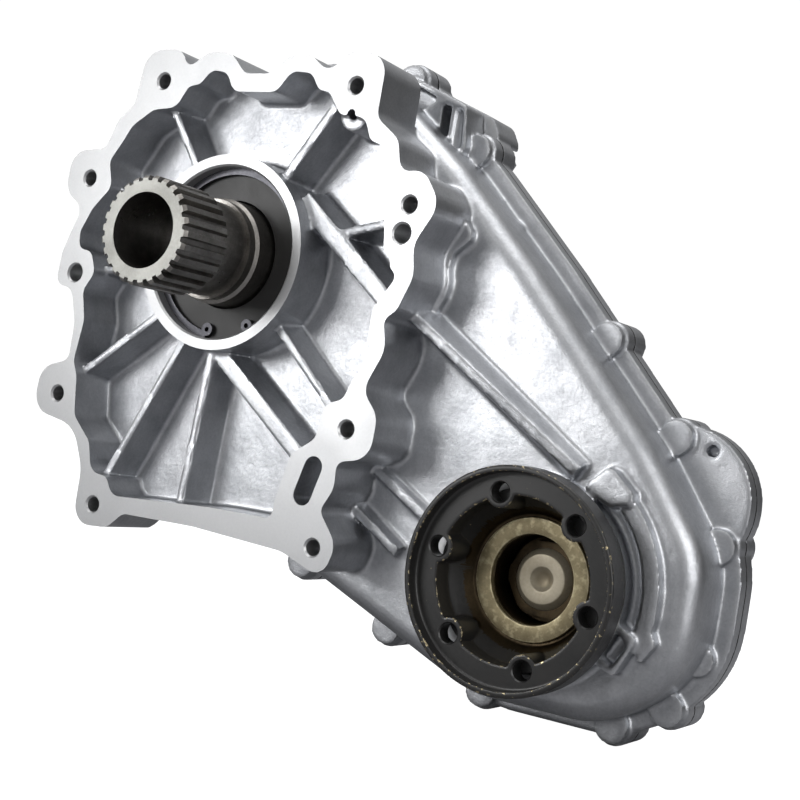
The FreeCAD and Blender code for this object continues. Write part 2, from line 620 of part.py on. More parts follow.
def pocket_fittings():
    """What stands in the bell's pocket: the main boss, its ribs and the sensor boss."""
    pieces = [cylinder(MAIN, BOSS_R, 0, POCKET_DEPTH + 1)]
    for start, end, top_start, top_end, top_t, foot_t in POCKET_RIBS:
        pieces.append(rib(start, end, top_start, top_end, top_t, foot_t, POCKET_DEPTH + 1))
    pieces.append(cylinder(SENSOR_BOSS, SENSOR_BOSS_R, SENSOR_BOSS_SETBACK, POCKET_DEPTH + 1))
    return pieces


def main_bore_cutter():
    groove = MAIN_SEAT_R + CIRCLIP_GROOVE
    shoulder = MAIN_SEAT_R - SHOULDER_STEP
    return turned(MAIN, [
        (0, -1), (MAIN_SEAT_R + 2, -1), (MAIN_SEAT_R, 1), (MAIN_SEAT_R, CIRCLIP_Y), (groove, CIRCLIP_Y),
        (groove, CIRCLIP_Y + CIRCLIP_THICK), (MAIN_SEAT_R, CIRCLIP_Y + CIRCLIP_THICK),
        (MAIN_SEAT_R, MAIN_SHOULDER_Y), (shoulder, MAIN_SHOULDER_Y), (shoulder, MAIN_BOSS_END + 1),
        (0, MAIN_BOSS_END + 1),
    ])


def output_bore_cutter():
    end = FRONT_BEARING_Y + FRONT_BEARING_W + 1
    return turned(OUTPUT, [
        (0, OUTPUT_BOSS_SETBACK - 1), (FRONT_SEAL_R + 2, OUTPUT_BOSS_SETBACK - 1),
        (FRONT_SEAL_R, OUTPUT_BOSS_SETBACK + 1), (FRONT_SEAL_R, FRONT_SEAL_Y + FRONT_SEAL_W),
        (FRONT_BEARING_R - 3, FRONT_SEAL_Y + FRONT_SEAL_W), (FRONT_BEARING_R - 3, FRONT_BEARING_Y),
        (FRONT_BEARING_R, FRONT_BEARING_Y), (FRONT_BEARING_R, end), (0, end),
    ])


def slot_cutter(y0, y1):
    first, last = SLOT_ENDS
    length = math.hypot(last[0] - first[0], last[1] - first[1])
    across = ((last[1] - first[1]) / length * SLOT_R, -(last[0] - first[0]) / length * SLOT_R)
    corners = [
        (first[0] + across[0], first[1] + across[1]), (last[0] + across[0], last[1] + across[1]),
        (last[0] - across[0], last[1] - across[1]), (first[0] - across[0], first[1] - across[1]),
    ]
    middle = prism(corners, y0, y1)
    return middle.multiFuse([cylinder(first, SLOT_R, y0, y1), cylinder(last, SLOT_R, y0, y1)])


def front_case():
    case = front_case_outside()
    case = case.cut(rounded_plate(BELL_INNER, -1, POCKET_DEPTH))
    case = case.multiFuse(pocket_fittings())
    inside = housing_wall(CAVITY_Y, PARTING + 1, -WALL)
    drum_space = cylinder(MAIN, DRUM_SPACE_R, POCKET_DEPTH + FLOOR, CAVITY_Y + 1)
    case = case.cut(inside).cut(drum_space)
    seat_end = FRONT_BEARING_Y + FRONT_BEARING_W
    inner_bosses = [
        tube(MAIN, BOSS_R, MAIN_SEAT_R, POCKET_DEPTH, MAIN_BOSS_END),
        cylinder(OUTPUT, FRONT_BEARING_R + WALL, HOUSING_FRONT + 1, seat_end),
    ]
    case = case.multiFuse(inner_bosses)
    cutters = [main_bore_cutter(), output_bore_cutter(), slot_cutter(-1, SLOT_DEPTH)]
    for place in BELL_BOLTS:
        cutters.append(chamfered_hole(place, BELL_BOLT_R, 0, BELL_BOLT_DEPTH))
    for place in BELL_DOWELS:
        cutters.append(chamfered_hole(place, BELL_DOWEL_R, 0, BELL_DOWEL_DEPTH))
    cutters.append(cylinder(SENSOR_BOSS, SENSOR_HOLE_R, 0, SENSOR_HOLE_DEPTH))
    for place in CASE_BOLTS:
        cutters.append(cylinder(place, CASE_BOLT_R + RUN, bolt_tip_y(), PARTING + 1))
    for place in CASE_DOWELS:
        cutters.append(cylinder(place, CASE_DOWEL_R + RUN, dowel_y(), PARTING + 1))
    cutters.append(cylinder(SIDE_HOLE, SIDE_HOLE_R, PARTING - FRONT_FLANGE_T - 1,
                            PARTING - FRONT_FLANGE_T + SIDE_HOLE_DEPTH / 2.0))
    lug_y = PARTING - LUG_LENGTH
    recesses = ((LUG_POCKET, LUG_POCKET_DEPTH), (LUG_SLOT, LUG_SLOT_DEPTH), (LUG_GROOVE, LUG_GROOVE_DEPTH))
    for corners, depth in recesses:
        cutters.append(off_oil_space(rounded_plate(corners, lug_y - 1, lug_y + depth)))
    pad_y = HOUSING_FRONT - BOX_PAD_H
    cutters.append(off_oil_space(output_plate(BOX_POCKET, pad_y - 1, pad_y + BOX_POCKET_DEPTH)))
    cutters.append(cylinder(magnet_place(), MAGNET_R + RUN, CAVITY_Y - 1.5, CAVITY_Y + 1))
    return case.cut(Part.makeCompound(cutters)).removeSplitter()


def magnet_place():
    place = point(OUTPUT, MAGNET_ORBIT, MAGNET_DEG)
    return place.x, place.z


def bolt_seat_y():
    return REAR_FACE + REAR_LOBE_T


def bolt_tip_y():
    return bolt_seat_y() - CASE_BOLT_GRIP - REAR_LOBE_T / 3.0


def dowel_y():
    return PARTING - CASE_DOWEL_LENGTH / 2.0


def rear_case():
    shell = housing_wall(REAR_FACE, REAR_WALL)
    shell = shell.makeFillet(REAR_SHOULDER_R, front_edges(shell, REAR_WALL))
    pieces = [joint_flange(REAR_FACE, REAR_FACE + REAR_FLANGE_T, REAR_FACE, bolt_seat_y())]
    pieces.append(rounded_plate(LUG_REAR, REAR_FACE, REAR_FACE + LUG_REAR_LENGTH))
    boss_r = REAR_BEARING_R + WALL + 1
    seal_boss_r = REAR_SEAL_R + WALL
    pieces.append(turned(MAIN, [
        (0, REAR_CAVITY), (boss_r + 3, REAR_CAVITY), (boss_r, REAR_HUB_Y), (seal_boss_r, REAR_SEAL_Y + 1),
        (seal_boss_r, REAR_BOSS_END), (0, REAR_BOSS_END),
    ]))
    tail_r = TAIL_BEARING_R + WALL
    pieces.append(turned(OUTPUT, [
        (0, REAR_CAVITY - 4), (tail_r, REAR_CAVITY - 4), (tail_r, TAIL_BOSS_END - 3),
        (tail_r - 3, TAIL_BOSS_END), (0, TAIL_BOSS_END),
    ]))
    for place in (FILL_PLUG, DRAIN_PLUG):
        pieces.append(cylinder(place, PLUG_BOSS_R, REAR_CAVITY, REAR_WALL + PLUG_BOSS_H))
    for degrees in REAR_RIBS_DEG:
        pieces.append(rear_rib(point(MAIN, boss_r - 2, degrees), point(MAIN, REAR_RIB_REACH, degrees)))
    toward = -OUTPUT_DROP_DEG
    for lean in LINK_RIBS_DEG:
        start = point(MAIN, boss_r - 2, toward + lean)
        end = point(OUTPUT, tail_r - 1, 180 + toward - lean * LINK_RIB_LEAN)
        pieces.append(rear_rib(start, end))
    for degrees in TAIL_RIBS_DEG:
        pieces.append(rear_rib(point(OUTPUT, tail_r - 2, degrees), point(OUTPUT, TAIL_RIB_REACH, degrees)))
    case = shell.multiFuse(pieces)
    case = case.cut(housing_wall(REAR_FACE - 1, REAR_CAVITY, -WALL))
    bearing_wall = tube(MAIN, REAR_BEARING_R + WALL, REAR_BEARING_R - 1, REAR_CAVITY - 1, REAR_CAVITY + 1)
    tail_wall = tube(OUTPUT, tail_r, TAIL_BEARING_R - 1, TAIL_BEARING_Y, REAR_CAVITY + 1)
    case = case.multiFuse([bearing_wall, tail_wall])
    cutters = [turned(MAIN, [
        (0, REAR_CAVITY - 2), (REAR_BEARING_R, REAR_CAVITY - 2), (REAR_BEARING_R, REAR_HUB_Y),
        (REAR_BEARING_R - SHOULDER_STEP, REAR_HUB_Y), (REAR_BEARING_R - SHOULDER_STEP, REAR_SEAL_Y),
        (REAR_SEAL_R, REAR_SEAL_Y), (REAR_SEAL_R, REAR_BOSS_END - 1), (REAR_SEAL_R + 2, REAR_BOSS_END + 1),
        (0, REAR_BOSS_END + 1),
    ])]
    cutters.append(cylinder(OUTPUT, TAIL_BEARING_R, TAIL_BEARING_Y - 1, TAIL_BEARING_Y + TAIL_BEARING_W))
    for place in CASE_BOLTS:
        cutters.append(cylinder(place, CASE_BOLT_R + CASE_BOLT_CLEAR, REAR_FACE - 1, bolt_seat_y() + 1))
        cutters.append(cylinder(place, BOLT_WASHER_R + SPOTFACE_GAP, bolt_seat_y(), REAR_WALL + PLUG_BOSS_H))
    dowel_end = dowel_y() + CASE_DOWEL_LENGTH + SEALANT_THICK
    for place in CASE_DOWELS:
        cutters.append(cylinder(place, CASE_DOWEL_R + RUN, REAR_FACE - 1, dowel_end))
    for place in (FILL_PLUG, DRAIN_PLUG):
        cutters.append(cylinder(place, PLUG_R + RUN, REAR_CAVITY - 1, REAR_WALL + PLUG_BOSS_H + 1))
    cutters.append(breather_hole())
    return case.cut(Part.makeCompound(cutters)).removeSplitter()


def rear_rib(start, end):
    """Low rib on the back of the rear case."""
    top = REAR_WALL + REAR_RIB_T + 3
    return rib((start.x, start.z), (end.x, end.z), top, REAR_WALL + 1, REAR_RIB_T, REAR_RIB_FOOT, REAR_WALL - 3)


def breather_place():
    return (BREATHER_X, (REAR_FACE + REAR_FLANGE_T + REAR_WALL) / 2.0 - 1)


def top_of_wall():
    """Height of the housing's outer wall above the breather."""
    above = max(z for _, z, _ in HOUSING_WALL) + WALL
    probe = Part.makeLine(FreeCAD.Vector(BREATHER_X, 0, 0), FreeCAD.Vector(BREATHER_X, 0, above))
    wall = Part.Face(rounded_wire(HOUSING_WALL, 0))
    return wall.common(probe).BoundBox.ZMax


def upright(radius, z0, z1):
    x, y = breather_place()
    return Part.makeCylinder(radius, z1 - z0, FreeCAD.Vector(x, y, z0), FreeCAD.Vector(0, 0, 1))


def breather_hole():
    return upright(BREATHER_STEM_R + RUN, top_of_wall() - WALL - 6, top_of_wall() + 20)


def breather():
    seat = top_of_wall() + 0.1
    stem = upright(BREATHER_STEM_R, seat - WALL, seat + 5)
    cap = upright(BREATHER_CAP_R, seat + 3, seat + 3 + BREATHER_CAP_H)
    return stem.fuse(cap.makeFillet(2.0, [cap.Edges[0]]))


def sealant():
    face = joint_flange(PARTING, REAR_FACE, PARTING, REAR_FACE)
    sizes = [(place, CASE_BOLT_R) for place in CASE_BOLTS] + [(place, CASE_DOWEL_R) for place in CASE_DOWELS]
    holes = [cylinder(place, radius + CASE_BOLT_CLEAR, PARTING - 1, REAR_FACE + 1) for place, radius in sizes]
    holes.append(housing_wall(PARTING - 1, REAR_FACE + 1, -WALL))
    return face.cut(Part.makeCompound(holes))


def hexagon(place, flats, y0, y1):
    corner = flats / math.sqrt(3.0)
    corners = [(point(place, corner, 60 * i).x, point(place, corner, 60 * i).z) for i in range(6)]
    return prism(corners, y0, y1)


def case_bolts():
    solids = []
    seat = bolt_seat_y()
    for place in CASE_BOLTS:
        shank = cylinder(place, CASE_BOLT_R, bolt_tip_y() + 1.5, seat)
        washer = cylinder(place, BOLT_WASHER_R, seat, seat + BOLT_WASHER_H)
        head = hexagon(place, BOLT_HEAD_FLATS, seat + BOLT_WASHER_H, seat + BOLT_HEAD_H)
        solids.append(shank.multiFuse([washer, head]))
    return Part.makeCompound(solids)


def case_dowels():
    end = dowel_y() + CASE_DOWEL_LENGTH
    return Part.makeCompound([cylinder(place, CASE_DOWEL_R, dowel_y() + 0.5, end) for place in CASE_DOWELS])


def plug(place):
    seat = REAR_WALL + PLUG_BOSS_H + PLUG_WASHER_T
    head = cylinder(place, PLUG_HEAD_R, seat, seat + PLUG_HEAD_H)
    body = cylinder(place, PLUG_R, REAR_CAVITY + 1, seat).fuse(head)
    return body.cut(hexagon(place, PLUG_HEX, seat - 3, seat + PLUG_HEAD_H + 1))


def plug_washers():
    seat = REAR_WALL + PLUG_BOSS_H
    end = seat + PLUG_WASHER_T
    inner = PLUG_R + CASE_BOLT_CLEAR
    return Part.makeCompound([tube(place, PLUG_HEAD_R, inner, seat, end) for place in (FILL_PLUG, DRAIN_PLUG)])


def oil_seal(axis, outer, land, y0, width):
    """Pressed steel case with a rubber lip that runs just off the shaft."""
    lip = land + RUN
    return turned(axis, [
        (outer - RUN, y0), (outer - RUN, y0 + width), (outer - 3, y0 + width), (outer - 3, y0 + 3),
        (lip + 3, y0 + 3), (lip + 3, y0 + width - 1), (lip, y0 + width - 3), (lip, y0 + width - 5),
        (lip + 1.2, y0 + 2), (lip + 1.2, y0),
    ])


def bearing_split(inner, outer):
    section = outer - inner
    return inner + section * RACE_SHARE, outer - section * RACE_SHARE


def outer_race(axis, inner, outer, y0, width):
    edge = bearing_split(inner, outer)[1]
    ball = (outer - inner) * BALL_SHARE
    middle = (inner + outer) / 2.0
    race = tube(axis, outer - RUN, edge, y0, y0 + width)
    groove = Part.makeTorus(middle, ball + RUN, FreeCAD.Vector(axis[0], y0 + width / 2.0, axis[1]), Y_AXIS)
    return race.cut(groove)


def inner_race(axis, inner, outer, y0, width):
    edge = bearing_split(inner, outer)[0]
    ball = (outer - inner) * BALL_SHARE
    middle = (inner + outer) / 2.0
    race = tube(axis, edge, inner + RUN, y0, y0 + width)
    groove = Part.makeTorus(middle, ball + RUN, FreeCAD.Vector(axis[0], y0 + width / 2.0, axis[1]), Y_AXIS)
    return race.cut(groove)


def balls(axis, inner, outer, y0, width):
    middle = (inner + outer) / 2.0
    radius = (outer - inner) * BALL_SHARE - RUN
    places = [point(axis, middle, 360.0 * i / BALL_COUNT, y0 + width / 2.0) for i in range(BALL_COUNT)]
    return Part.makeCompound([Part.makeSphere(radius, place) for place in places])


def cage(axis, inner, outer, y0, width):
    """Thin band between the races, with a round window for each ball."""
    middle = (inner + outer) / 2.0
    radius = (outer - inner) * BALL_SHARE
    band = tube(axis, middle + CAGE_T / 2.0, middle - CAGE_T / 2.0, y0 + 1.5, y0 + width - 1.5)
    windows = []
    for i in range(BALL_COUNT):
        near = point(axis, middle - 3, 360.0 * i / BALL_COUNT, y0 + width / 2.0)
        far = point(axis, middle + 3, 360.0 * i / BALL_COUNT, y0 + width / 2.0)
        windows.append(Part.makeCylinder(radius + 0.15, 6, near, far - near))
    return band.cut(Part.makeCompound(windows))


def spline_outline(tip_r, root_r, teeth):
    """Outline of an external spline: teeth whose flanks lean in towards the tip."""
    corners = []
    for i in range(teeth):
        for radius, share in ((root_r, -0.31), (tip_r, -0.21), (tip_r, 0.21), (root_r, 0.31)):
            turn = 2 * math.pi * (i + share) / teeth
            corners.append((radius * math.cos(turn), radius * math.sin(turn)))
    return corners


def input_shaft():
    outline = spline_outline(SPLINE_TIP_R, SPLINE_ROOT_R, SPLINE_TEETH)
    teeth = prism(outline, -SPLINE_NOSE, -SPLINE_RUNOUT + 4)
    envelope = turned(MAIN, [
        (0, -SPLINE_NOSE), (SPLINE_TIP_R - SPLINE_CHAMFER, -SPLINE_NOSE),
        (SPLINE_TIP_R, -SPLINE_NOSE + SPLINE_CHAMFER), (SPLINE_TIP_R, -SPLINE_RUNOUT),
        (SPLINE_ROOT_R - 0.4, -SPLINE_RUNOUT + 4), (0, -SPLINE_RUNOUT + 4),
    ])
    drum_r = RING_GEAR_R + RUN + DRUM_WALL
    body = turned(MAIN, [
        (0, -SPLINE_RUNOUT + 2), (SPLINE_ROOT_R, -SPLINE_RUNOUT + 2), (SPLINE_ROOT_R, NECK_STEP_AT),
        (NECK_R, NECK_STEP_AT), (NECK_R, NECK_STEP_AT + 5), (SEAL_LAND_R, NECK_STEP_AT + 6.5),
        (SEAL_LAND_R, MAIN_BEARING_Y), (MAIN_BEARING_BORE_R, MAIN_BEARING_Y),
        (MAIN_BEARING_BORE_R, MAIN_SHOULDER_Y), (INPUT_SHOULDER_R, MAIN_SHOULDER_Y),
        (INPUT_SHOULDER_R, WEB_Y), (drum_r, WEB_Y), (drum_r, DRUM_END), (RING_GEAR_R + RUN, DRUM_END),
        (RING_GEAR_R + RUN, GEAR_Y - 2), (RING_GEAR_R - 3, GEAR_Y - 2), (RING_GEAR_R - 3, WEB_Y + DRUM_WEB),
        (0, WEB_Y + DRUM_WEB),
    ])
    shaft = body.fuse(teeth.common(envelope))
    bore_end = core_seat_y()
    shaft = shaft.cut(cylinder(MAIN, INPUT_BORE_R, -SPLINE_NOSE - 1, bore_end))
    shaft = shaft.cut(cylinder(MAIN, INPUT_BORE_R - CORE_SEAT_STEP, bore_end - 1, bore_end + CORE_SEAT_DEPTH))
    pilot_y = GEAR_Y - PILOT_LENGTH - 2
    return shaft.cut(cylinder(MAIN, PILOT_R + 4, pilot_y, WEB_Y + DRUM_WEB + 1))


def core_seat_y():
    return -SPLINE_NOSE + INPUT_BORE_DEPTH


def core_plug():
    """Cup of sheet steel that closes the input shaft's bore."""
    outer = INPUT_BORE_R - CORE_SEAT_STEP - RUN
    inner = outer - CORE_PLUG_SHEET
    y0 = core_seat_y() + CORE_PLUG_SETBACK
    y1 = y0 + CORE_PLUG_W
    web_y = y1 - CORE_PLUG_SHEET
    return turned(MAIN, [(0, web_y), (inner, web_y), (inner, y0), (outer, y0), (outer, y1), (0, y1)])


def pilot_bush():
    y0 = GEAR_Y - PILOT_LENGTH - 1.5
    return tube(MAIN, PILOT_R + 4 - RUN, PILOT_R + RUN, y0, WEB_Y + DRUM_WEB)


def ring_gear():
    blank = cylinder(MAIN, RING_GEAR_R, GEAR_Y - 1.5, GEAR_END + 0.5)
    return blank.cut(prism(ring_outline(RING_TEETH, ring_phase(), MAIN), GEAR_Y - 3, GEAR_END + 2))


def pinion_places():
    """Centres and tooth phases of the pinions: an inner one on the sun, an outer one in the ring."""
    pinion_r = MODULE * PINION_TEETH / 2.0
    cosine = (INNER_ORBIT ** 2 + OUTER_ORBIT ** 2 - 4 * pinion_r ** 2) / (2 * INNER_ORBIT * OUTER_ORBIT)
    spread = math.degrees(math.acos(cosine))
    pitch_deg = 360.0 / PINION_TEETH
    places = []
    for pair in range(PINION_PAIRS):
        base = 360.0 * pair / PINION_PAIRS
        inner = point(MAIN, INNER_ORBIT, base)
        outer = point(MAIN, OUTER_ORBIT, base + spread)
        inner_phase = base + 180.0
        toward = math.degrees(math.atan2(outer.z - inner.z, outer.x - inner.x))
        lead = (inner_phase - toward) % pitch_deg
        outer_phase = toward + 180.0 - lead + pitch_deg / 2.0
        places.append(((inner.x, inner.z), inner_phase))
        places.append(((outer.x, outer.z), outer_phase))
    return places


def ring_phase():
    """Direction of a ring tooth space that holds the first outer pinion's tooth."""
    place, phase = pinion_places()[1]
    outward = math.degrees(math.atan2(place[1], place[0]))
    lead = (phase - outward) % (360.0 / PINION_TEETH)
    return outward + lead * PINION_TEETH / RING_TEETH


def pinion(place, phase):
    blank = prism(gear_outline(PINION_TEETH, phase, place), GEAR_Y, GEAR_END)
    return blank.cut(cylinder(place, PINION_PIN_R + RUN, GEAR_Y - 1, GEAR_END + 1))


def pinion_pins():
    y0 = PLATE_Y
    y1 = REAR_PLATE_END
    return Part.makeCompound([cylinder(place, PINION_PIN_R, y0, y1) for place, _ in pinion_places()])


def carrier_plate(y0, bore):
    plate = tube(MAIN, CARRIER_R, bore, y0, y0 + CARRIER_PLATE)
    y1 = y0 + CARRIER_PLATE
    holes = [cylinder(place, PINION_PIN_R + RUN, y0 - 1, y1 + 1) for place, _ in pinion_places()]
    return plate.cut(Part.makeCompound(holes))


def carrier_front_plate():
    return carrier_plate(PLATE_Y, PILOT_R + 8)


def bush_outer():
    return REAR_SHAFT_R + RUN + 2.5


def carrier():
    """Rear plate and the hollow hub that carries the drive sprocket."""
    hub = turned(MAIN, [
        (bush_outer() + RUN, REAR_PLATE_Y), (CARRIER_HUB_R, REAR_PLATE_Y), (CARRIER_HUB_R, SPROCKET_Y),
        (sprocket_bore(), SPROCKET_Y),
        (sprocket_bore(), SPROCKET_END + 2), (bush_outer() + RUN, SPROCKET_END + 2),
    ])
    return carrier_plate(REAR_PLATE_Y, bush_outer() + 2).fuse(hub)


def sprocket_bore():
    return bush_outer() + 6.0


def carrier_bush():
    return tube(MAIN, bush_outer(), REAR_SHAFT_R + RUN, REAR_PLATE_Y + 1, SPROCKET_END + 1.5)


def thrust_washer():
    return tube(MAIN, REAR_SHAFT_R + 8, REAR_SHAFT_R + RUN, SPROCKET_END + 2.3, REAR_BEARING_Y - 0.2)


def pitch_radius():
    return CHAIN_PITCH / (2.0 * math.sin(math.pi / SPROCKET_TEETH))


def sprocket_outline(axis):
    pitch_r = pitch_radius()
    root = pitch_r - TOOTH_ROOT_DROP
    tip = pitch_r - TOOTH_TIP_DROP
    first = 90.0 - OUTPUT_DROP_DEG + 180.0 / SPROCKET_TEETH
    corners = []
    tooth = ((root, -TOOTH_ROOT_HALF), (tip, -TOOTH_TIP_HALF), (tip, TOOTH_TIP_HALF), (root, TOOTH_ROOT_HALF))
    for i in range(SPROCKET_TEETH):
        turn = math.radians(first + 360.0 * i / SPROCKET_TEETH)
        for radius, half in tooth:
            x = radius * math.cos(turn) - half * math.sin(turn)
            z = radius * math.sin(turn) + half * math.cos(turn)
            corners.append((axis[0] + x, axis[1] + z))
    return corners


def sprocket(axis, bore):
    body = prism(sprocket_outline(axis), SPROCKET_Y, SPROCKET_END)
    hub_r = bore + SPROCKET_HUB_T
    rim_r = pitch_radius() - SPROCKET_RIM_T
    floor_y = SPROCKET_Y + WAIST_DEPTH
    front_y = SPROCKET_Y - 1
    waist = turned(axis, [(hub_r, front_y), (rim_r, front_y), (rim_r - 1, floor_y), (hub_r + 1, floor_y)])
    return body.cut(cylinder(axis, bore + RUN, SPROCKET_Y - 1, SPROCKET_END + 1)).cut(waist)


def chain_pins():
    """Pin centres around both sprockets, one chain pitch apart."""
    pitch_r = pitch_radius()
    first = 90.0 - OUTPUT_DROP_DEG
    step = 360.0 / SPROCKET_TEETH
    wraps = SPROCKET_TEETH // 2
    straight = (CHAIN_PITCHES - SPROCKET_TEETH) // 2
    places = [point(MAIN, pitch_r, first + step * k) for k in range(wraps + 1)]
    start = places[-1]
    end = point(OUTPUT, pitch_r, first + 180.0)
    places += [start + (end - start) * (k / straight) for k in range(1, straight)]
    places += [point(OUTPUT, pitch_r, first + 180.0 + step * k) for k in range(wraps + 1)]
    start = places[-1]
    end = places[0]
    places += [start + (end - start) * (k / straight) for k in range(1, straight)]
    return places


def link_outline(start, end):
    """Inverted-tooth plate between two pins: two toes inwards and a flat back."""
    along = (end - start).normalize()
    outward = FreeCAD.Vector(along.z, 0, -along.x)
    first_half = [
        (-LINK_SHOULDER, LINK_HALF), (-LINK_REACH, LINK_RISE), (-LINK_SHOULDER, -LINK_HALF),
        (LINK_TOE, -LINK_HALF), (LINK_CROTCH, -LINK_RISE),
    ]
    shape = first_half + [(CHAIN_PITCH - u, v) for u, v in reversed(first_half)]
    places = [start + along * u + outward * v for u, v in shape]
    return [(place.x, place.z) for place in places]


def chain():
    """Plates in packs: one in the middle on every other pitch, two outside it on the rest."""
    pins = chain_pins()
    y0 = CHAIN_PLANE - CHAIN_W / 2.0
    side_w = CHAIN_W / 4.0
    gap = CHAIN_PACK_GAP / 2.0
    solids = []
    for i, start in enumerate(pins):
        end = pins[(i + 1) % len(pins)]
        outline = link_outline(start, end)
        if i % 2:
            solids.append(prism(outline, y0, y0 + side_w - gap))
            solids.append(prism(outline, y0 + CHAIN_W - side_w + gap, y0 + CHAIN_W))
        else:
            solids.append(prism(outline, y0 + side_w + gap, y0 + CHAIN_W - side_w - gap))
    return Part.makeCompound(solids)


def rear_output_shaft():
    thread_end = REAR_DISC_END + 3
    body = turned(MAIN, [
        (0, GEAR_Y - PILOT_LENGTH), (PILOT_R, GEAR_Y - PILOT_LENGTH), (PILOT_R, GEAR_Y), (REAR_SHAFT_R, GEAR_Y),
        (REAR_SHAFT_R, REAR_HUB_Y), (REAR_SPLINE_R, REAR_HUB_Y), (REAR_SPLINE_R, REAR_DISC_END - NUT_T - 2),
        (REAR_THREAD_R, REAR_DISC_END - NUT_T - 2), (REAR_THREAD_R, thread_end), (0, thread_end),
    ])
    sun = prism(gear_outline(SUN_TEETH, 180.0 / SUN_TEETH, MAIN), GEAR_Y, GEAR_END)
    return body.fuse(sun)


def bolt_circle(axis, count, pcd, radius, first, y0, y1):
    places = [point(axis, pcd / 2.0, first + 360.0 * i / count) for i in range(count)]
    return [cylinder((place.x, place.z), radius, y0, y1) for place in places]


def rear_output_flange():
    """Companion flange for the rear propeller shaft, with a locating spigot."""
    nut_seat = REAR_DISC_END - NUT_T - 1
    body = turned(MAIN, [
        (REAR_SPLINE_R + RUN, REAR_HUB_Y + RUN), (REAR_SEAL_LAND_R, REAR_HUB_Y + RUN),
        (REAR_SEAL_LAND_R, REAR_DISC_Y - 4), (REAR_SEAL_LAND_R + 4, REAR_DISC_Y),
        (REAR_FLANGE_R, REAR_DISC_Y), (REAR_FLANGE_R, REAR_DISC_END),
        (REAR_PILOT_R, REAR_DISC_END), (REAR_PILOT_R, REAR_DISC_END + REAR_PILOT_H - 1),
        (REAR_PILOT_R - 0.5, REAR_DISC_END + REAR_PILOT_H),
        (FRONT_NUT_R + 1, REAR_DISC_END + REAR_PILOT_H), (FRONT_NUT_R + 1, nut_seat),
        (REAR_SPLINE_R + RUN, nut_seat),
    ])
    holes = bolt_circle(MAIN, FLANGE_BOLTS, FLANGE_PCD, FLANGE_HOLE_R, 0, REAR_DISC_Y - 1, REAR_DISC_END + 1)
    return body.cut(Part.makeCompound(holes))


def collar_nut(axis, bore, y0):
    """Hexagon nut with a round collar under it."""
    collar_y = y0 + NUT_T - NUT_COLLAR_T
    collar = cylinder(axis, FRONT_NUT_R, collar_y, y0 + NUT_T)
    neck = cylinder(axis, FRONT_NUT_R - NUT_COLLAR_STEP, y0, collar_y)
    flats = hexagon(axis, 2 * (FRONT_NUT_R - NUT_HEX_STEP), y0, collar_y)
    rounded = cylinder(axis, FRONT_NUT_R - NUT_COLLAR_T / 2.0, y0, collar_y)
    nut = collar.multiFuse([neck, flats.common(rounded)])
    return nut.cut(cylinder(axis, bore + RUN, y0 - 1, y0 + NUT_T + 1))


def rear_flange_nut():
    y0 = REAR_DISC_END - NUT_T - 1
    nut = collar_nut(MAIN, REAR_THREAD_R, 0.0)
    nut.rotate(FreeCAD.Vector(0, NUT_T / 2.0, 0), FreeCAD.Vector(0, 0, 1), 180)
    nut.translate(FreeCAD.Vector(0, y0, 0))
    return nut


def front_output_flange():
    """Deep companion flange: thin rim, lugs around the bolt holes, web and long hub."""
    rim_in = FLANGE_RIM_R - FLANGE_RIM_WALL
    seat_y = FRONT_BEARING_Y - 1.0
    hub_end = FRONT_BEARING_Y + FRONT_BEARING_W
    body = turned(OUTPUT, [
        (FLANGE_RIM_R - 0.8, RIM_Y), (FLANGE_RIM_R, RIM_Y + 0.8), (FLANGE_RIM_R, FLANGE_BACK_Y - 2),
        (FLANGE_RIM_R - 2, FLANGE_BACK_Y), (FLANGE_HUB_R + 3, FLANGE_BACK_Y), (FLANGE_HUB_R, FLANGE_BACK_Y + 3),
        (FLANGE_HUB_R, seat_y), (FRONT_SEAT_R, seat_y), (FRONT_SEAT_R, hub_end),
        (FRONT_SPLINE_R + RUN, hub_end),
        (FRONT_SPLINE_R + RUN, NUT_SEAT_Y), (COLLAR_BORE_R, NUT_SEAT_Y), (COLLAR_BORE_R, COLLAR_Y + COLLAR_T),
        (COLLAR_SEAT_R, COLLAR_Y + COLLAR_T), (COLLAR_SEAT_R, FLANGE_WEB_Y), (rim_in, FLANGE_WEB_Y),
        (rim_in, RIM_Y),
    ])
    lugs = []
    for i in range(FLANGE_BOLTS):
        place = point(OUTPUT, FLANGE_PCD / 2.0, FLANGE_FIRST_HOLE_DEG + 360.0 * i / FLANGE_BOLTS)
        lugs.append(cylinder((place.x, place.z), FLANGE_LUG_R, LUG_FACE_Y, FLANGE_WEB_Y + 1))
    ring = tube(OUTPUT, rim_in + 1, FLANGE_RING_IN, LUG_FACE_Y, FLANGE_WEB_Y + 1)
    inside_rim = cylinder(OUTPUT, rim_in + 1, LUG_FACE_Y - 1, FLANGE_WEB_Y + 2)
    lug_ring = ring.multiFuse(lugs).common(inside_rim)
    body = body.fuse(lug_ring)
    y0 = LUG_FACE_Y - 1
    y1 = FLANGE_BACK_Y + 1
    holes = bolt_circle(OUTPUT, FLANGE_BOLTS, FLANGE_PCD, FLANGE_HOLE_R, FLANGE_FIRST_HOLE_DEG, y0, y1)
    return body.cut(Part.makeCompound(holes)).removeSplitter()


def front_flange_collar():
    return tube(OUTPUT, COLLAR_SEAT_R - RUN, COLLAR_BORE_R, COLLAR_Y, COLLAR_Y + COLLAR_T)


def front_flange_nut():
    return collar_nut(OUTPUT, FRONT_THREAD_R, FRONT_NUT_Y)


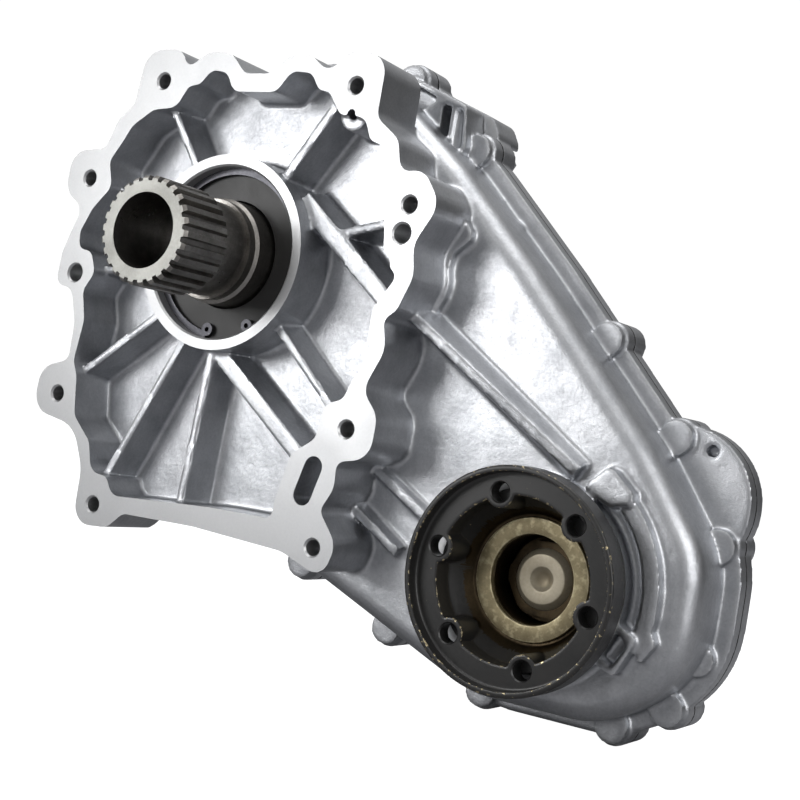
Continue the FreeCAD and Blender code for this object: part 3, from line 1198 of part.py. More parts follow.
def front_output_shaft():
    hub_end = FRONT_BEARING_Y + FRONT_BEARING_W
    return turned(OUTPUT, [
        (0, SHAFT_END_Y + CENTRE_DRILL_DEPTH), (CENTRE_DRILL_R, SHAFT_END_Y),
        (FRONT_THREAD_R - SHAFT_END_CHAMFER, SHAFT_END_Y), (FRONT_THREAD_R, SHAFT_END_Y + SHAFT_END_CHAMFER),
        (FRONT_THREAD_R, NUT_SEAT_Y + 1), (FRONT_SPLINE_R, NUT_SEAT_Y + 1),
        (FRONT_SPLINE_R, hub_end), (driven_bore(), hub_end + RUN), (driven_bore(), SPROCKET_END + 0.8),
        (FRONT_TAIL_R, SPROCKET_END + 0.8),
        (FRONT_TAIL_R, TAIL_BEARING_Y + TAIL_BEARING_W - 1), (0, TAIL_BEARING_Y + TAIL_BEARING_W - 1),
    ])


def driven_bore():
    return FRONT_SEAT_R + 2.0


def tail_cup():
    y0 = TAIL_BEARING_Y
    return tube(OUTPUT, TAIL_BEARING_R - RUN, TAIL_BEARING_R - 4.0, y0, y0 + TAIL_BEARING_W - 0.5)


def tail_rollers():
    inner = FRONT_TAIL_R
    outer = TAIL_BEARING_R - 4.0
    radius = (outer - inner) / 2.0 - RUN
    y0 = TAIL_BEARING_Y + 0.8
    rollers = []
    for i in range(TAIL_ROLLERS):
        place = point(OUTPUT, (inner + outer) / 2.0, 360.0 * i / TAIL_ROLLERS)
        rollers.append(cylinder((place.x, place.z), radius, y0, y0 + TAIL_BEARING_W - 2.5))
    return Part.makeCompound(rollers)


def boss_circlip():
    """Internal circlip with its gap and two eyelet lugs at the bottom."""
    outer = MAIN_SEAT_R + CIRCLIP_GROOVE - 0.2
    y0 = CIRCLIP_Y + 0.1
    y1 = CIRCLIP_Y + CIRCLIP_THICK - 0.1
    ring = tube(MAIN, outer, MAIN_SEAT_R - CIRCLIP_BAND, y0, y1)
    ends = [point(MAIN, 2 * MAIN_SEAT_R, degrees) for degrees in CIRCLIP_LUGS_DEG]
    ring = ring.cut(prism([MAIN, (ends[0].x, ends[0].z), (ends[1].x, ends[1].z)], y0 - 1, y1 + 1))
    for degrees in CIRCLIP_LUGS_DEG:
        place = point(MAIN, MAIN_SEAT_R - CIRCLIP_LUG_DROP, degrees)
        lug = cylinder((place.x, place.z), CIRCLIP_LUG_R, y0, y1)
        eye = cylinder((place.x, place.z), CIRCLIP_EYE_R, y0 - 1, y1 + 1)
        ring = ring.fuse(lug).cut(eye)
    return ring


def main_bearing_sizes():
    return MAIN_BEARING_BORE_R, MAIN_SEAT_R, MAIN_BEARING_Y, MAIN_BEARING_W


def rear_bearing_sizes():
    return REAR_SHAFT_R, REAR_BEARING_R, REAR_BEARING_Y, REAR_BEARING_W


def front_bearing_sizes():
    return FRONT_SEAT_R, FRONT_BEARING_R, FRONT_BEARING_Y, FRONT_BEARING_W


def build_nodes():
    nodes = {
        "front_case": front_case(),
        "rear_case": rear_case(),
        "case_sealant": sealant(),
        "case_bolts": case_bolts(),
        "case_dowels": case_dowels(),
        "fill_plug": plug(FILL_PLUG),
        "drain_plug": plug(DRAIN_PLUG),
        "plug_washers": plug_washers(),
        "breather": breather(),
        "chip_magnet": cylinder(magnet_place(), MAGNET_R, CAVITY_Y - 1.4, CAVITY_Y - 1.4 + MAGNET_T),
        "boss_circlip": boss_circlip(),
        "input_seal": oil_seal(MAIN, MAIN_SEAT_R, SEAL_LAND_R, MAIN_SEAL_Y, MAIN_SEAL_W),
        "input_shaft": input_shaft(),
        "input_core_plug": core_plug(),
        "pilot_bush": pilot_bush(),
        "ring_gear": ring_gear(),
        "carrier_front_plate": carrier_front_plate(),
        "carrier": carrier(),
        "carrier_bush": carrier_bush(),
        "pinion_pins": pinion_pins(),
        "drive_sprocket": sprocket(MAIN, sprocket_bore()),
        "thrust_washer": thrust_washer(),
        "drive_chain": chain(),
        "rear_output_shaft": rear_output_shaft(),
        "rear_output_seal": oil_seal(MAIN, REAR_SEAL_R, REAR_SEAL_LAND_R, REAR_SEAL_Y, REAR_SEAL_W),
        "rear_output_flange": rear_output_flange(),
        "rear_flange_nut": rear_flange_nut(),
        "front_output_shaft": front_output_shaft(),
        "driven_sprocket": sprocket(OUTPUT, driven_bore()),
        "front_output_flange": front_output_flange(),
        "front_flange_collar": front_flange_collar(),
        "front_flange_nut": front_flange_nut(),
        "front_output_seal": oil_seal(OUTPUT, FRONT_SEAL_R, FLANGE_HUB_R, FRONT_SEAL_Y, FRONT_SEAL_W),
        "tail_bearing_cup": tail_cup(),
        "tail_bearing_rollers": tail_rollers(),
    }
    for i, (place, phase) in enumerate(pinion_places()):
        kind = ("inner", "outer")[i % 2]
        nodes["%s_pinion_%d" % (kind, i // 2 + 1)] = pinion(place, phase)
    bearings = (
        ("input_bearing", MAIN, main_bearing_sizes()),
        ("rear_bearing", MAIN, rear_bearing_sizes()),
        ("front_output_bearing", OUTPUT, front_bearing_sizes()),
    )
    for name, axis, (inner, outer, y0, width) in bearings:
        nodes[name + "_outer_race"] = outer_race(axis, inner, outer, y0, width)
        nodes[name + "_inner_race"] = inner_race(axis, inner, outer, y0, width)
        nodes[name + "_balls"] = balls(axis, inner, outer, y0, width)
        nodes[name + "_cage"] = cage(axis, inner, outer, y0, width)
    return nodes


os.makedirs("parts", exist_ok=True)
for node_name, node_shape in build_nodes().items():
    node_shape.exportStep("parts/%s.step" % node_name)
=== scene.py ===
"""Dressed model of a chain-driven transfer case, seen from its gearbox side."""

import logging
import math
from dataclasses import dataclass, field
from enum import Enum
from typing import Iterable, Sequence

import bpy
import numpy as np
from mathutils import Matrix, Vector


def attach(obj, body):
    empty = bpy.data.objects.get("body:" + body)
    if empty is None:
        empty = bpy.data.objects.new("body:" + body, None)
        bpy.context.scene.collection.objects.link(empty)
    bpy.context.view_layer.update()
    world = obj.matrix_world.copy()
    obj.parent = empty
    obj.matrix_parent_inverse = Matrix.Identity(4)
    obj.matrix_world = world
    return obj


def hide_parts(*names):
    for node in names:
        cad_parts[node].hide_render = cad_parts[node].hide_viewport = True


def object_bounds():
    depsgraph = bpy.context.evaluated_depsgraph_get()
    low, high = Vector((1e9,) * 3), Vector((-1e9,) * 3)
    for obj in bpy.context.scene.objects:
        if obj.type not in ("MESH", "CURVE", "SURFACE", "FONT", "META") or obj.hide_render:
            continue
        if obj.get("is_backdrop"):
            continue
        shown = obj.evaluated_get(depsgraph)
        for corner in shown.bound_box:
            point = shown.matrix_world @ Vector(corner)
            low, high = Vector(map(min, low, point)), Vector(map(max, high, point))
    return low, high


LOG = logging.getLogger("transfer_case")

MM = 0.001
MAIN = (0.0, 0.0)
OUTPUT = (197.13, -144.60)
CAD_ROOT = "housing"
WELD_REACH = 2e-6  # metres within which the corners of a CAD node's triangles are one


class Skin(Enum):
    """How a face of a casting was left."""

    CAST = 0
    MACHINED = 1


# ---------------------------------------------------------------- mesh tools


def new_object(name: str, verts: np.ndarray, faces: Sequence[Sequence[int]]) -> bpy.types.Object:
    """Make an object from vertices and faces.

    Args:
        name: Name of the object and its mesh.
        verts: Vertex places in metres, one row each.
        faces: Vertex numbers of each face, counter-clockwise from outside.

    Returns:
        The object, linked to the scene and placed at the origin.
    """
    mesh = bpy.data.meshes.new(name)
    mesh.from_pydata(verts.tolist(), [], [list(f) for f in faces])
    mesh.validate()
    obj = bpy.data.objects.new(name, mesh)
    bpy.context.scene.collection.objects.link(obj)
    return obj


def turned_arrays(
    axis: tuple[float, float],
    profile: Sequence[tuple[float, float]],
    steps: int = 96,
    ring: bool = False,
) -> tuple[np.ndarray, list[list[int]]]:
    """Surface of revolution about a line along Y.

    A point of the profile at radius r and station y, turned by the angle t, lies at
    (ax + r cos t, y, az + r sin t). A corner with radius nought becomes a single pole.

    Args:
        axis: Place of the line in X and Z, in millimetres.
        profile: Corners (radius, y) in millimetres, from the front pole to the rear pole, or
            around a ring's section from its front inner corner outwards.
        steps: Number of divisions around.
        ring: Whether the profile closes on itself.

    Returns:
        Vertices in metres and faces that point outwards.
    """
    turn = np.linspace(0.0, 2.0 * np.pi, steps, endpoint=False)
    circles: list[np.ndarray] = []
    starts: list[tuple[int, int]] = []
    count = 0
    for radius, y in profile:
        if radius <= 1e-9:
            circle = np.array([[axis[0], y, axis[1]]])
        else:
            across, up = axis[0] + radius * np.cos(turn), axis[1] + radius * np.sin(turn)
            circle = np.column_stack([across, np.full(steps, y), up])
        starts.append((count, len(circle)))
        circles.append(circle)
        count += len(circle)
    faces: list[list[int]] = []
    index = np.arange(steps)
    ahead = (index + 1) % steps
    pairs = list(zip(starts[:-1], starts[1:])) + ([(starts[-1], starts[0])] if ring else [])
    for (a, na), (b, nb) in pairs:
        if na == 1 and nb == 1:
            continue
        if na == 1:
            band = np.column_stack([np.full(steps, a), b + index, b + ahead])
        elif nb == 1:
            band = np.column_stack([a + index, np.full(steps, b), a + ahead])
        else:
            band = np.column_stack([a + index, b + index, b + ahead, a + ahead])
        faces.extend(band.tolist())
    return np.vstack(circles) * MM, faces


def eased(
    corners: Sequence[tuple[float, float]], ease: float, ring: bool = False
) -> list[tuple[float, float]]:
    """Round the corners of a profile.

    Each corner p is replaced by four points of the curve (1-t)^2 a + 2t(1-t) p + t^2 b, where a
    and b lie on the two edges, at the ease or at 45 % of the edge if that is less.

    Args:
        corners: Corners (radius, y) in millimetres.
        ease: Distance from a corner at which its rounding starts.
        ring: Whether the profile closes on itself; if not, its ends stay sharp.

    Returns:
        The rounded profile.
    """
    places = np.array(corners, dtype=float)
    share = np.linspace(0.0, 1.0, 4)[:, None]
    result: list[tuple[float, float]] = []
    for i, place in enumerate(places):
        if not ring and i in (0, len(places) - 1):
            result.append((float(place[0]), float(place[1])))
            continue
        ends = []
        for other in (places[i - 1], places[(i + 1) % len(places)]):
            step = other - place
            length = float(np.linalg.norm(step))
            ends.append(place + step * min(ease / length, 0.45))
        curve = (1 - share) ** 2 * ends[0] + 2 * share * (1 - share) * place + share ** 2 * ends[1]
        result.extend((float(r), float(y)) for r, y in curve)
    return result


def turned(
    name: str,
    axis: tuple[float, float],
    profile: Sequence[tuple[float, float]],
    steps: int = 96,
    ring: bool = False,
) -> bpy.types.Object:
    """Make an object from turned_arrays."""
    verts, faces = turned_arrays(axis, profile, steps, ring)
    return new_object(name, verts, faces)


def block(name: str, low: Sequence[float], high: Sequence[float]) -> bpy.types.Object:
    """Closed box between two corners in millimetres, with faces pointing outwards."""
    corners = np.array([
        [x, y, z] for x in (low[0], high[0]) for y in (low[1], high[1]) for z in (low[2], high[2])
    ])
    faces = [(0, 1, 3, 2), (4, 6, 7, 5), (0, 4, 5, 1), (2, 3, 7, 6), (0, 2, 6, 4), (1, 5, 7, 3)]
    return new_object(name, corners * MM, faces)


def coordinates(mesh: bpy.types.Mesh) -> np.ndarray:
    """Vertex places of a mesh as one array, in metres."""
    flat = np.empty(len(mesh.vertices) * 3)
    mesh.vertices.foreach_get("co", flat)
    return flat.reshape(-1, 3)


def set_coordinates(mesh: bpy.types.Mesh, places: np.ndarray) -> None:
    """Move every vertex of a mesh to the given places."""
    mesh.vertices.foreach_set("co", np.ascontiguousarray(places).ravel())
    mesh.update()


def copy_of(node: str, name: str) -> bpy.types.Object:
    """Copy a CAD node and merge its loose triangles into one surface.

    Args:
        node: Name of the CAD node.
        name: Name of the copy.

    Returns:
        The copy, linked to the scene.
    """
    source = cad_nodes()[node]
    mesh = source.data.copy()
    mesh.name = name
    mesh.materials.clear()
    obj = bpy.data.objects.new(name, mesh)
    bpy.context.scene.collection.objects.link(obj)
    apply_modifier(obj, "WELD", merge_threshold=WELD_REACH)
    if obj.data.has_custom_normals:
        bpy.context.view_layer.objects.active = obj
        bpy.ops.mesh.customdata_custom_splitnormals_clear()
    return obj


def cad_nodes() -> dict[str, bpy.types.Object]:
    """CAD nodes of the loaded frame, by name."""
    return FRAME["nodes"]


def apply_modifier(obj: bpy.types.Object, kind: str, **settings: object) -> None:
    """Add one modifier with its settings and apply it at once."""
    modifier = obj.modifiers.new(kind.lower(), kind)
    for key, value in settings.items():
        setattr(modifier, key, value)
    bake_modifiers(obj)


def bake_modifiers(obj: bpy.types.Object) -> None:
    """Replace an object's mesh by the result of its modifiers."""
    graph = bpy.context.evaluated_depsgraph_get()
    result = bpy.data.meshes.new_from_object(
        obj.evaluated_get(graph), preserve_all_data_layers=True, depsgraph=graph
    )
    old = obj.data
    obj.modifiers.clear()
    obj.data = result
    bpy.data.meshes.remove(old)


def join(name: str, parts: Iterable[bpy.types.Object]) -> bpy.types.Object:
    """Join objects into the first one, keeping their shells apart."""
    members = list(parts)
    bpy.ops.object.select_all(action="DESELECT")
    for member in members:
        member.select_set(True)
    bpy.context.view_layer.objects.active = members[0]
    bpy.ops.object.join()
    members[0].name = name
    return members[0]


def cut(obj: bpy.types.Object, cutter: bpy.types.Object) -> None:
    """Take the cutter's volume away from an object and delete the cutter."""
    apply_modifier(obj, "BOOLEAN", operation="DIFFERENCE", solver="MANIFOLD", object=cutter)
    mesh = cutter.data
    bpy.data.objects.remove(cutter)
    bpy.data.meshes.remove(mesh)


def edge_pairs(mesh: bpy.types.Mesh) -> np.ndarray:
    """Vertex numbers of every edge, one row each."""
    pairs = np.empty(len(mesh.edges) * 2, dtype=np.int64)
    mesh.edges.foreach_get("vertices", pairs)
    return pairs.reshape(-1, 2)


def neighbour_mean(values: np.ndarray, pairs: np.ndarray, count: int) -> np.ndarray:
    """Mean of a value over the vertices that share an edge with each vertex."""
    first, second = pairs[:, 0], pairs[:, 1]
    degree = np.bincount(first, minlength=count) + np.bincount(second, minlength=count)
    columns = []
    for column in np.atleast_2d(values.T):
        total = np.bincount(first, weights=column[second], minlength=count)
        total += np.bincount(second, weights=column[first], minlength=count)
        columns.append(total / np.maximum(degree, 1))
    return np.array(columns).T.reshape(values.shape)


def relax(mesh: bpy.types.Mesh, rounds: int, shrink: float = 0.5, grow: float = -0.52) -> None:
    """Round off a mesh without shrinking it.

    Each round moves every vertex a share of the way to its neighbours' mean, and then a
    slightly larger share back (Taubin smoothing).

    Args:
        mesh: Mesh to change.
        rounds: Number of double steps.
        shrink: Share of the first step.
        grow: Share of the second step, negative.
    """
    places = coordinates(mesh)
    pairs = edge_pairs(mesh)
    for _ in range(rounds):
        for share in (shrink, grow):
            places = places + share * (neighbour_mean(places, pairs, len(places)) - places)
    set_coordinates(mesh, places)


def mark_edges(mesh: bpy.types.Mesh, rounds: int = 2) -> None:
    """Store how far each vertex stands out of its surroundings as the attribute "edge".

    The value is the mean, over the neighbours, of the drop below the vertex along its normal,
    divided by the distance. It is positive on an outer edge and negative in a corner.

    Args:
        mesh: Mesh to mark.
        rounds: Number of times the value is averaged over the neighbours.
    """
    places = coordinates(mesh)
    normals = np.empty(len(mesh.vertices) * 3)
    mesh.vertices.foreach_get("normal", normals)
    normals = normals.reshape(-1, 3)
    pairs = edge_pairs(mesh)
    first, second = pairs[:, 0], pairs[:, 1]
    step = places[second] - places[first]
    length = np.maximum(np.linalg.norm(step, axis=1), 1e-9)
    drop_first = -(step * normals[first]).sum(axis=1) / length
    drop_second = (step * normals[second]).sum(axis=1) / length
    count = len(places)
    total = np.bincount(first, weights=drop_first, minlength=count)
    total += np.bincount(second, weights=drop_second, minlength=count)
    degree = np.bincount(first, minlength=count) + np.bincount(second, minlength=count)
    value = total / np.maximum(degree, 1)
    for _ in range(rounds):
        value = 0.5 * value + 0.5 * neighbour_mean(value, pairs, count)
    attribute = mesh.attributes.get("edge") or mesh.attributes.new("edge", "FLOAT", "POINT")
    attribute.data.foreach_set("value", value.astype(np.float32))


def crisp(obj: bpy.types.Object, degrees: float = 32.0) -> None:
    """Shade an object smooth but keep edges sharper than the angle."""
    mesh = obj.data
    mesh.polygons.foreach_set("use_smooth", np.ones(len(mesh.polygons), dtype=bool))
    mesh.set_sharp_from_angle(angle=math.radians(degrees))
    mesh.update()


# ---------------------------------------------------------------- shader tools


class Tree:
    """Short way to add and link nodes in one node tree."""

    def __init__(self, tree: bpy.types.NodeTree) -> None:
        """Keep the tree that is being filled."""
        self.tree = tree

    def add(self, kind: str, **settings: object) -> bpy.types.Node:
        """Add a node and set its properties."""
        node = self.tree.nodes.new(kind)
        for key, value in settings.items():
            setattr(node, key, value)
        return node

    def feed(self, socket: bpy.types.NodeSocket, value: object) -> None:
        """Link a socket to an input, or set the input's own value."""
        if isinstance(value, bpy.types.NodeSocket):
            self.tree.links.new(value, socket)
        elif value is not None:
            socket.default_value = value

    def math(self, operation: str, a: object, b: object = None, clamp: bool = False) -> bpy.types.NodeSocket:
        """One arithmetic step on numbers."""
        node = self.add("ShaderNodeMath", operation=operation, use_clamp=clamp)
        self.feed(node.inputs[0], a)
        self.feed(node.inputs[1], b)
        return node.outputs[0]

    def ramp(
        self, value: object, low: object, high: object, to_low: float = 0.0, to_high: float = 1.0
    ) -> bpy.types.NodeSocket:
        """Map a range of values to another and clamp it."""
        node = self.add("ShaderNodeMapRange", clamp=True)
        self.feed(node.inputs["Value"], value)
        self.feed(node.inputs["From Min"], low)
        self.feed(node.inputs["From Max"], high)
        self.feed(node.inputs["To Min"], to_low)
        self.feed(node.inputs["To Max"], to_high)
        return node.outputs["Result"]

    def mix(self, share: object, a: object, b: object) -> bpy.types.NodeSocket:
        """Mix two colours."""
        node = self.add("ShaderNodeMix", data_type="RGBA", blend_type="MIX")
        self.feed(node.inputs["Factor"], share)
        self.feed(node.inputs[6], a)
        self.feed(node.inputs[7], b)
        return node.outputs[2]

    def noise(
        self, vector: object, scale: object, detail: float = 3.0, rough: float = 0.55
    ) -> bpy.types.NodeSocket:
        """Noise value at a scale, in repeats per metre."""
        node = self.add("ShaderNodeTexNoise", noise_dimensions="3D")
        self.feed(node.inputs["Vector"], vector)
        self.feed(node.inputs["Scale"], scale)
        self.feed(node.inputs["Detail"], detail)
        self.feed(node.inputs["Roughness"], rough)
        return node.outputs["Fac"]

    def object_place(self) -> bpy.types.NodeSocket:
        """Place of the shaded point in the object's own axes, in metres."""
        return self.add("ShaderNodeTexCoord").outputs["Object"]

    def edge(self) -> bpy.types.NodeSocket:
        """Edge value that mark_edges stored."""
        node = self.add("ShaderNodeAttribute", attribute_name="edge", attribute_type="GEOMETRY")
        return node.outputs["Fac"]


def group_with(
    name: str, inputs: dict[str, float], outputs: dict[str, str]
) -> tuple[bpy.types.NodeTree, Tree, bpy.types.Node, bpy.types.Node]:
    """Start a shader node group with named sockets.

    Args:
        name: Name of the group.
        inputs: Float inputs and their default values.
        outputs: Outputs and their socket types.

    Returns:
        The group, a Tree on it, and its input and output nodes.
    """
    group = bpy.data.node_groups.new(name, "ShaderNodeTree")
    for title, value in inputs.items():
        socket = group.interface.new_socket(name=title, in_out="INPUT", socket_type="NodeSocketFloat")
        socket.default_value = value
    for title, kind in outputs.items():
        group.interface.new_socket(name=title, in_out="OUTPUT", socket_type=kind)
    tree = Tree(group)
    return group, tree, tree.add("NodeGroupInput"), tree.add("NodeGroupOutput")


class Effects:
    """The surface effects that several finishes share, each one a node group built once."""

    def __init__(self) -> None:
        """Build the groups."""
        self.grain = self._grain()
        self.wear = self._wear()
        self.turning = self._turning()
        self.film = self._film()

    @staticmethod
    def _grain() -> bpy.types.NodeTree:
        """Skin of a die casting: fine pitting over a soft waviness.

        Height is the sum of three noises, at the pit, grain and wave scale.
        """
        group, tree, start, end = group_with(
            "cast_skin", {"Pit Scale": 2600.0, "Wave Scale": 90.0, "Pit Share": 0.35},
            {"Height": "NodeSocketFloat", "Tone": "NodeSocketFloat"},
        )
        place = tree.object_place()
        pits = tree.noise(place, start.outputs["Pit Scale"], 2.0)
        middle = tree.noise(place, 700.0, 3.0)
        waves = tree.noise(place, start.outputs["Wave Scale"], 2.0)
        fine = tree.math("MULTIPLY", pits, start.outputs["Pit Share"])
        small = tree.math("ADD", fine, tree.math("MULTIPLY", middle, 0.35))
        height = tree.math("ADD", tree.math("MULTIPLY", waves, 1.6), small)
        stains = tree.math("MULTIPLY", tree.noise(place, 45.0, 4.0), 0.5)
        tone = tree.math("ADD", tree.math("MULTIPLY", middle, 0.5), stains)
        tree.feed(end.inputs["Height"], height)
        tree.feed(end.inputs["Tone"], tone)
        return group

    @staticmethod
    def _wear() -> bpy.types.NodeTree:
        """Masks of rubbed outer edges, broken up by noise, and of painted shade in concave corners; the metal
        finishes also use the rubbed mask as a painted highlight.
        """
        group, tree, start, end = group_with(
            "edge_wear", {"Threshold": 0.12, "Softness": 0.12, "Break Up": 0.5, "Scale": 300.0},
            {"Rubbed And Painted Highlight": "NodeSocketFloat", "Painted Corner Shade": "NodeSocketFloat"},
        )
        place = tree.object_place()
        edge = tree.edge()
        noise = tree.math("SUBTRACT", tree.noise(place, start.outputs["Scale"], 4.0), 0.5)
        shift = tree.math("MULTIPLY", noise, start.outputs["Break Up"])
        lifted = tree.math("ADD", edge, shift)
        top = tree.math("ADD", start.outputs["Threshold"], start.outputs["Softness"])
        # Rubbed outer edges: real rubbing, and in the metal finishes also a painted highlight.
        tree.feed(end.inputs["Rubbed And Painted Highlight"], tree.ramp(lifted, start.outputs["Threshold"], top))
        # Painted shade: concave corners, where the edge value is negative, give this mask.
        tree.feed(end.inputs["Painted Corner Shade"], tree.ramp(edge, -0.05, -0.30))
        return group

    @staticmethod
    def _turning() -> bpy.types.NodeTree:
        """Rings left by a turning tool around an axis along Y.

        The height is noise of the distance from the axis and of the station along it, so it
        runs in circles round the axis.
        """
        group, tree, start, end = group_with(
            "turning_marks", {"Axis X": 0.0, "Axis Z": 0.0, "Pitch": 3500.0},
            {"Height": "NodeSocketFloat"},
        )
        split = tree.add("ShaderNodeSeparateXYZ")
        tree.feed(split.inputs[0], tree.object_place())
        dx = tree.math("SUBTRACT", split.outputs["X"], start.outputs["Axis X"])
        dz = tree.math("SUBTRACT", split.outputs["Z"], start.outputs["Axis Z"])
        square = tree.math("ADD", tree.math("MULTIPLY", dx, dx), tree.math("MULTIPLY", dz, dz))
        radius = tree.math("SQRT", square)
        joined = tree.add("ShaderNodeCombineXYZ")
        tree.feed(joined.inputs["X"], radius)
        tree.feed(joined.inputs["Y"], split.outputs["Y"])
        tree.feed(end.inputs["Height"], tree.noise(joined.outputs[0], start.outputs["Pitch"], 2.0))
        return group

    @staticmethod
    def _film() -> bpy.types.NodeTree:
        """Uneven film of oil and dust: a mask of soft patches and small specks."""
        group, tree, start, end = group_with(
            "oil_film", {"Scale": 60.0, "Amount": 0.5}, {"Mask": "NodeSocketFloat"},
        )
        place = tree.object_place()
        soft = tree.noise(place, start.outputs["Scale"], 5.0, 0.6)
        specks = tree.ramp(tree.noise(place, 900.0, 2.0), 0.62, 0.72)
        patches = tree.ramp(soft, 0.45, 0.70)
        both = tree.math("MAXIMUM", patches, tree.math("MULTIPLY", specks, 0.6))
        tree.feed(end.inputs["Mask"], tree.math("MULTIPLY", both, start.outputs["Amount"], clamp=True))
        return group


def place_group(tree: Tree, group: bpy.types.NodeTree, **values: float) -> bpy.types.Node:
    """Put a node group into a tree; values are given by socket name with underscores."""
    node = tree.add("ShaderNodeGroup", node_tree=group)
    for key, value in values.items():
        node.inputs[key.replace("_", " ")].default_value = value
    return node


Colour = tuple[float, float, float, float]


@dataclass(frozen=True)
class Metal:
    """A metal finish made of a base tone, its mottling, rubbed edges with a painted highlight, painted shade
    in concave corners, grain and turning rings.

    Args:
        name: Name of the material.
        base: Colour of the plain metal.
        dark: Colour under the film, and painted shade in concave corners.
        bright: Colour of the outer edges, partly real rubbing and partly a painted highlight.
        rough: Least and greatest roughness.
        grain: Height of the casting grain, in metres.
        rings: Height of the turning rings, in metres.
        axis: Axis of the rings in X and Z, in millimetres.
        pitch: Rings per metre.
        film: Amount of the oil film.
        wear: Threshold, softness and break up of the rubbed edges.
        pit_share: Share of the finest pits in the grain.
        metallic: Share of bare metal; less for a dull milled face.
    """

    name: str
    base: Colour
    dark: Colour
    bright: Colour
    rough: tuple[float, float] = (0.30, 0.45)
    grain: float = 0.0
    rings: float = 0.0
    axis: tuple[float, float] = MAIN
    pitch: float = 3500.0
    film: float = 0.3
    wear: tuple[float, float, float] = (0.12, 0.12, 0.3)
    pit_share: float = 0.35
    metallic: float = 1.0

    def make(self, effects: Effects) -> bpy.types.Material:
        """Build the material."""
        material = bpy.data.materials.new(self.name)
        material.use_nodes = True
        tree = Tree(material.node_tree)
        shader = material.node_tree.nodes["Principled BSDF"]
        grain = place_group(tree, effects.grain, Pit_Share=self.pit_share)
        threshold, softness, break_up = self.wear
        wear = place_group(tree, effects.wear, Threshold=threshold, Softness=softness, Break_Up=break_up)
        film = place_group(tree, effects.film, Amount=self.film)
        tone = tree.ramp(grain.outputs["Tone"], 0.35, 0.65)
        colour = tree.mix(tree.math("MULTIPLY", tone, 0.35), self.base, self.dark)
        colour = tree.mix(film.outputs["Mask"], colour, self.dark)
        # Painted shade: concave corners are mixed towards the dark colour.
        colour = tree.mix(wear.outputs["Painted Corner Shade"], colour, self.dark)
        # Outer edges lightened: partly real rubbing, partly a painted highlight.
        colour = tree.mix(wear.outputs["Rubbed And Painted Highlight"], colour, self.bright)
        tree.feed(shader.inputs["Base Color"], colour)
        shader.inputs["Metallic"].default_value = self.metallic
        rough = tree.ramp(tone, 0.0, 1.0, self.rough[0], self.rough[1])
        dulled = tree.math("MULTIPLY", film.outputs["Mask"], 0.10)
        tree.feed(shader.inputs["Roughness"], tree.math("ADD", rough, dulled, clamp=True))
        height = tree.math("MULTIPLY", grain.outputs["Height"], self.grain)
        if self.rings:
            x, z = self.axis
            rings = place_group(tree, effects.turning, Axis_X=x * MM, Axis_Z=z * MM, Pitch=self.pitch)
            height = tree.math("ADD", height, tree.math("MULTIPLY", rings.outputs["Height"], self.rings))
        bump = tree.add("ShaderNodeBump")
        bump.inputs["Strength"].default_value = 1.0
        bump.inputs["Distance"].default_value = 1.0
        tree.feed(bump.inputs["Height"], height)
        tree.feed(shader.inputs["Normal"], bump.outputs["Normal"])
        return material


@dataclass(frozen=True)
class Coat:
    """A painted, rubber or plastic finish that shows what is under it where it is chipped.

    Args:
        name: Name of the material.
        base: Colour of the coat.
        dark: Colour of its darker patches.
        under: Colour of the metal under the coat.
        rough: Least and greatest roughness.
        chips: Threshold, softness and break up of the chipped edges.
        grain: Height of the surface grain, in metres.
    """

    name: str
    base: Colour
    dark: Colour
    under: Colour
    rough: tuple[float, float] = (0.35, 0.55)
    chips: tuple[float, float, float] = (9.0, 1.0, 0.0)
    grain: float = 0.00002

    def make(self, effects: Effects) -> bpy.types.Material:
        """Build the material."""
        material = bpy.data.materials.new(self.name)
        material.use_nodes = True
        tree = Tree(material.node_tree)
        shader = material.node_tree.nodes["Principled BSDF"]
        grain = place_group(tree, effects.grain)
        threshold, softness, break_up = self.chips
        wear = place_group(
            tree, effects.wear, Threshold=threshold, Softness=softness, Break_Up=break_up, Scale=420.0
        )
        film = place_group(tree, effects.film, Amount=0.5)
        tone = tree.ramp(grain.outputs["Tone"], 0.35, 0.65)
        patches = tree.math("MAXIMUM", tree.math("MULTIPLY", tone, 0.5), film.outputs["Mask"])
        colour = tree.mix(patches, self.base, self.dark)
        colour = tree.mix(wear.outputs["Rubbed And Painted Highlight"], colour, self.under)
        tree.feed(shader.inputs["Base Color"], colour)
        tree.feed(shader.inputs["Metallic"], wear.outputs["Rubbed And Painted Highlight"])
        tree.feed(shader.inputs["Roughness"], tree.ramp(tone, 0.0, 1.0, self.rough[0], self.rough[1]))
        bump = tree.add("ShaderNodeBump")
        bump.inputs["Strength"].default_value = 1.0
        bump.inputs["Distance"].default_value = 1.0
        height = tree.math("SUBTRACT", tree.math("MULTIPLY", grain.outputs["Height"], self.grain),
                           tree.math("MULTIPLY", wear.outputs["Rubbed And Painted Highlight"], 0.00008))
        tree.feed(bump.inputs["Height"], height)
        tree.feed(shader.inputs["Normal"], bump.outputs["Normal"])
        return material


def grey(level: float, warm: float = 0.0) -> Colour:
    """Opaque grey; warm raises red and lowers blue by its share."""
    return (level * (1 + warm), level, level * (1 - warm), 1.0)


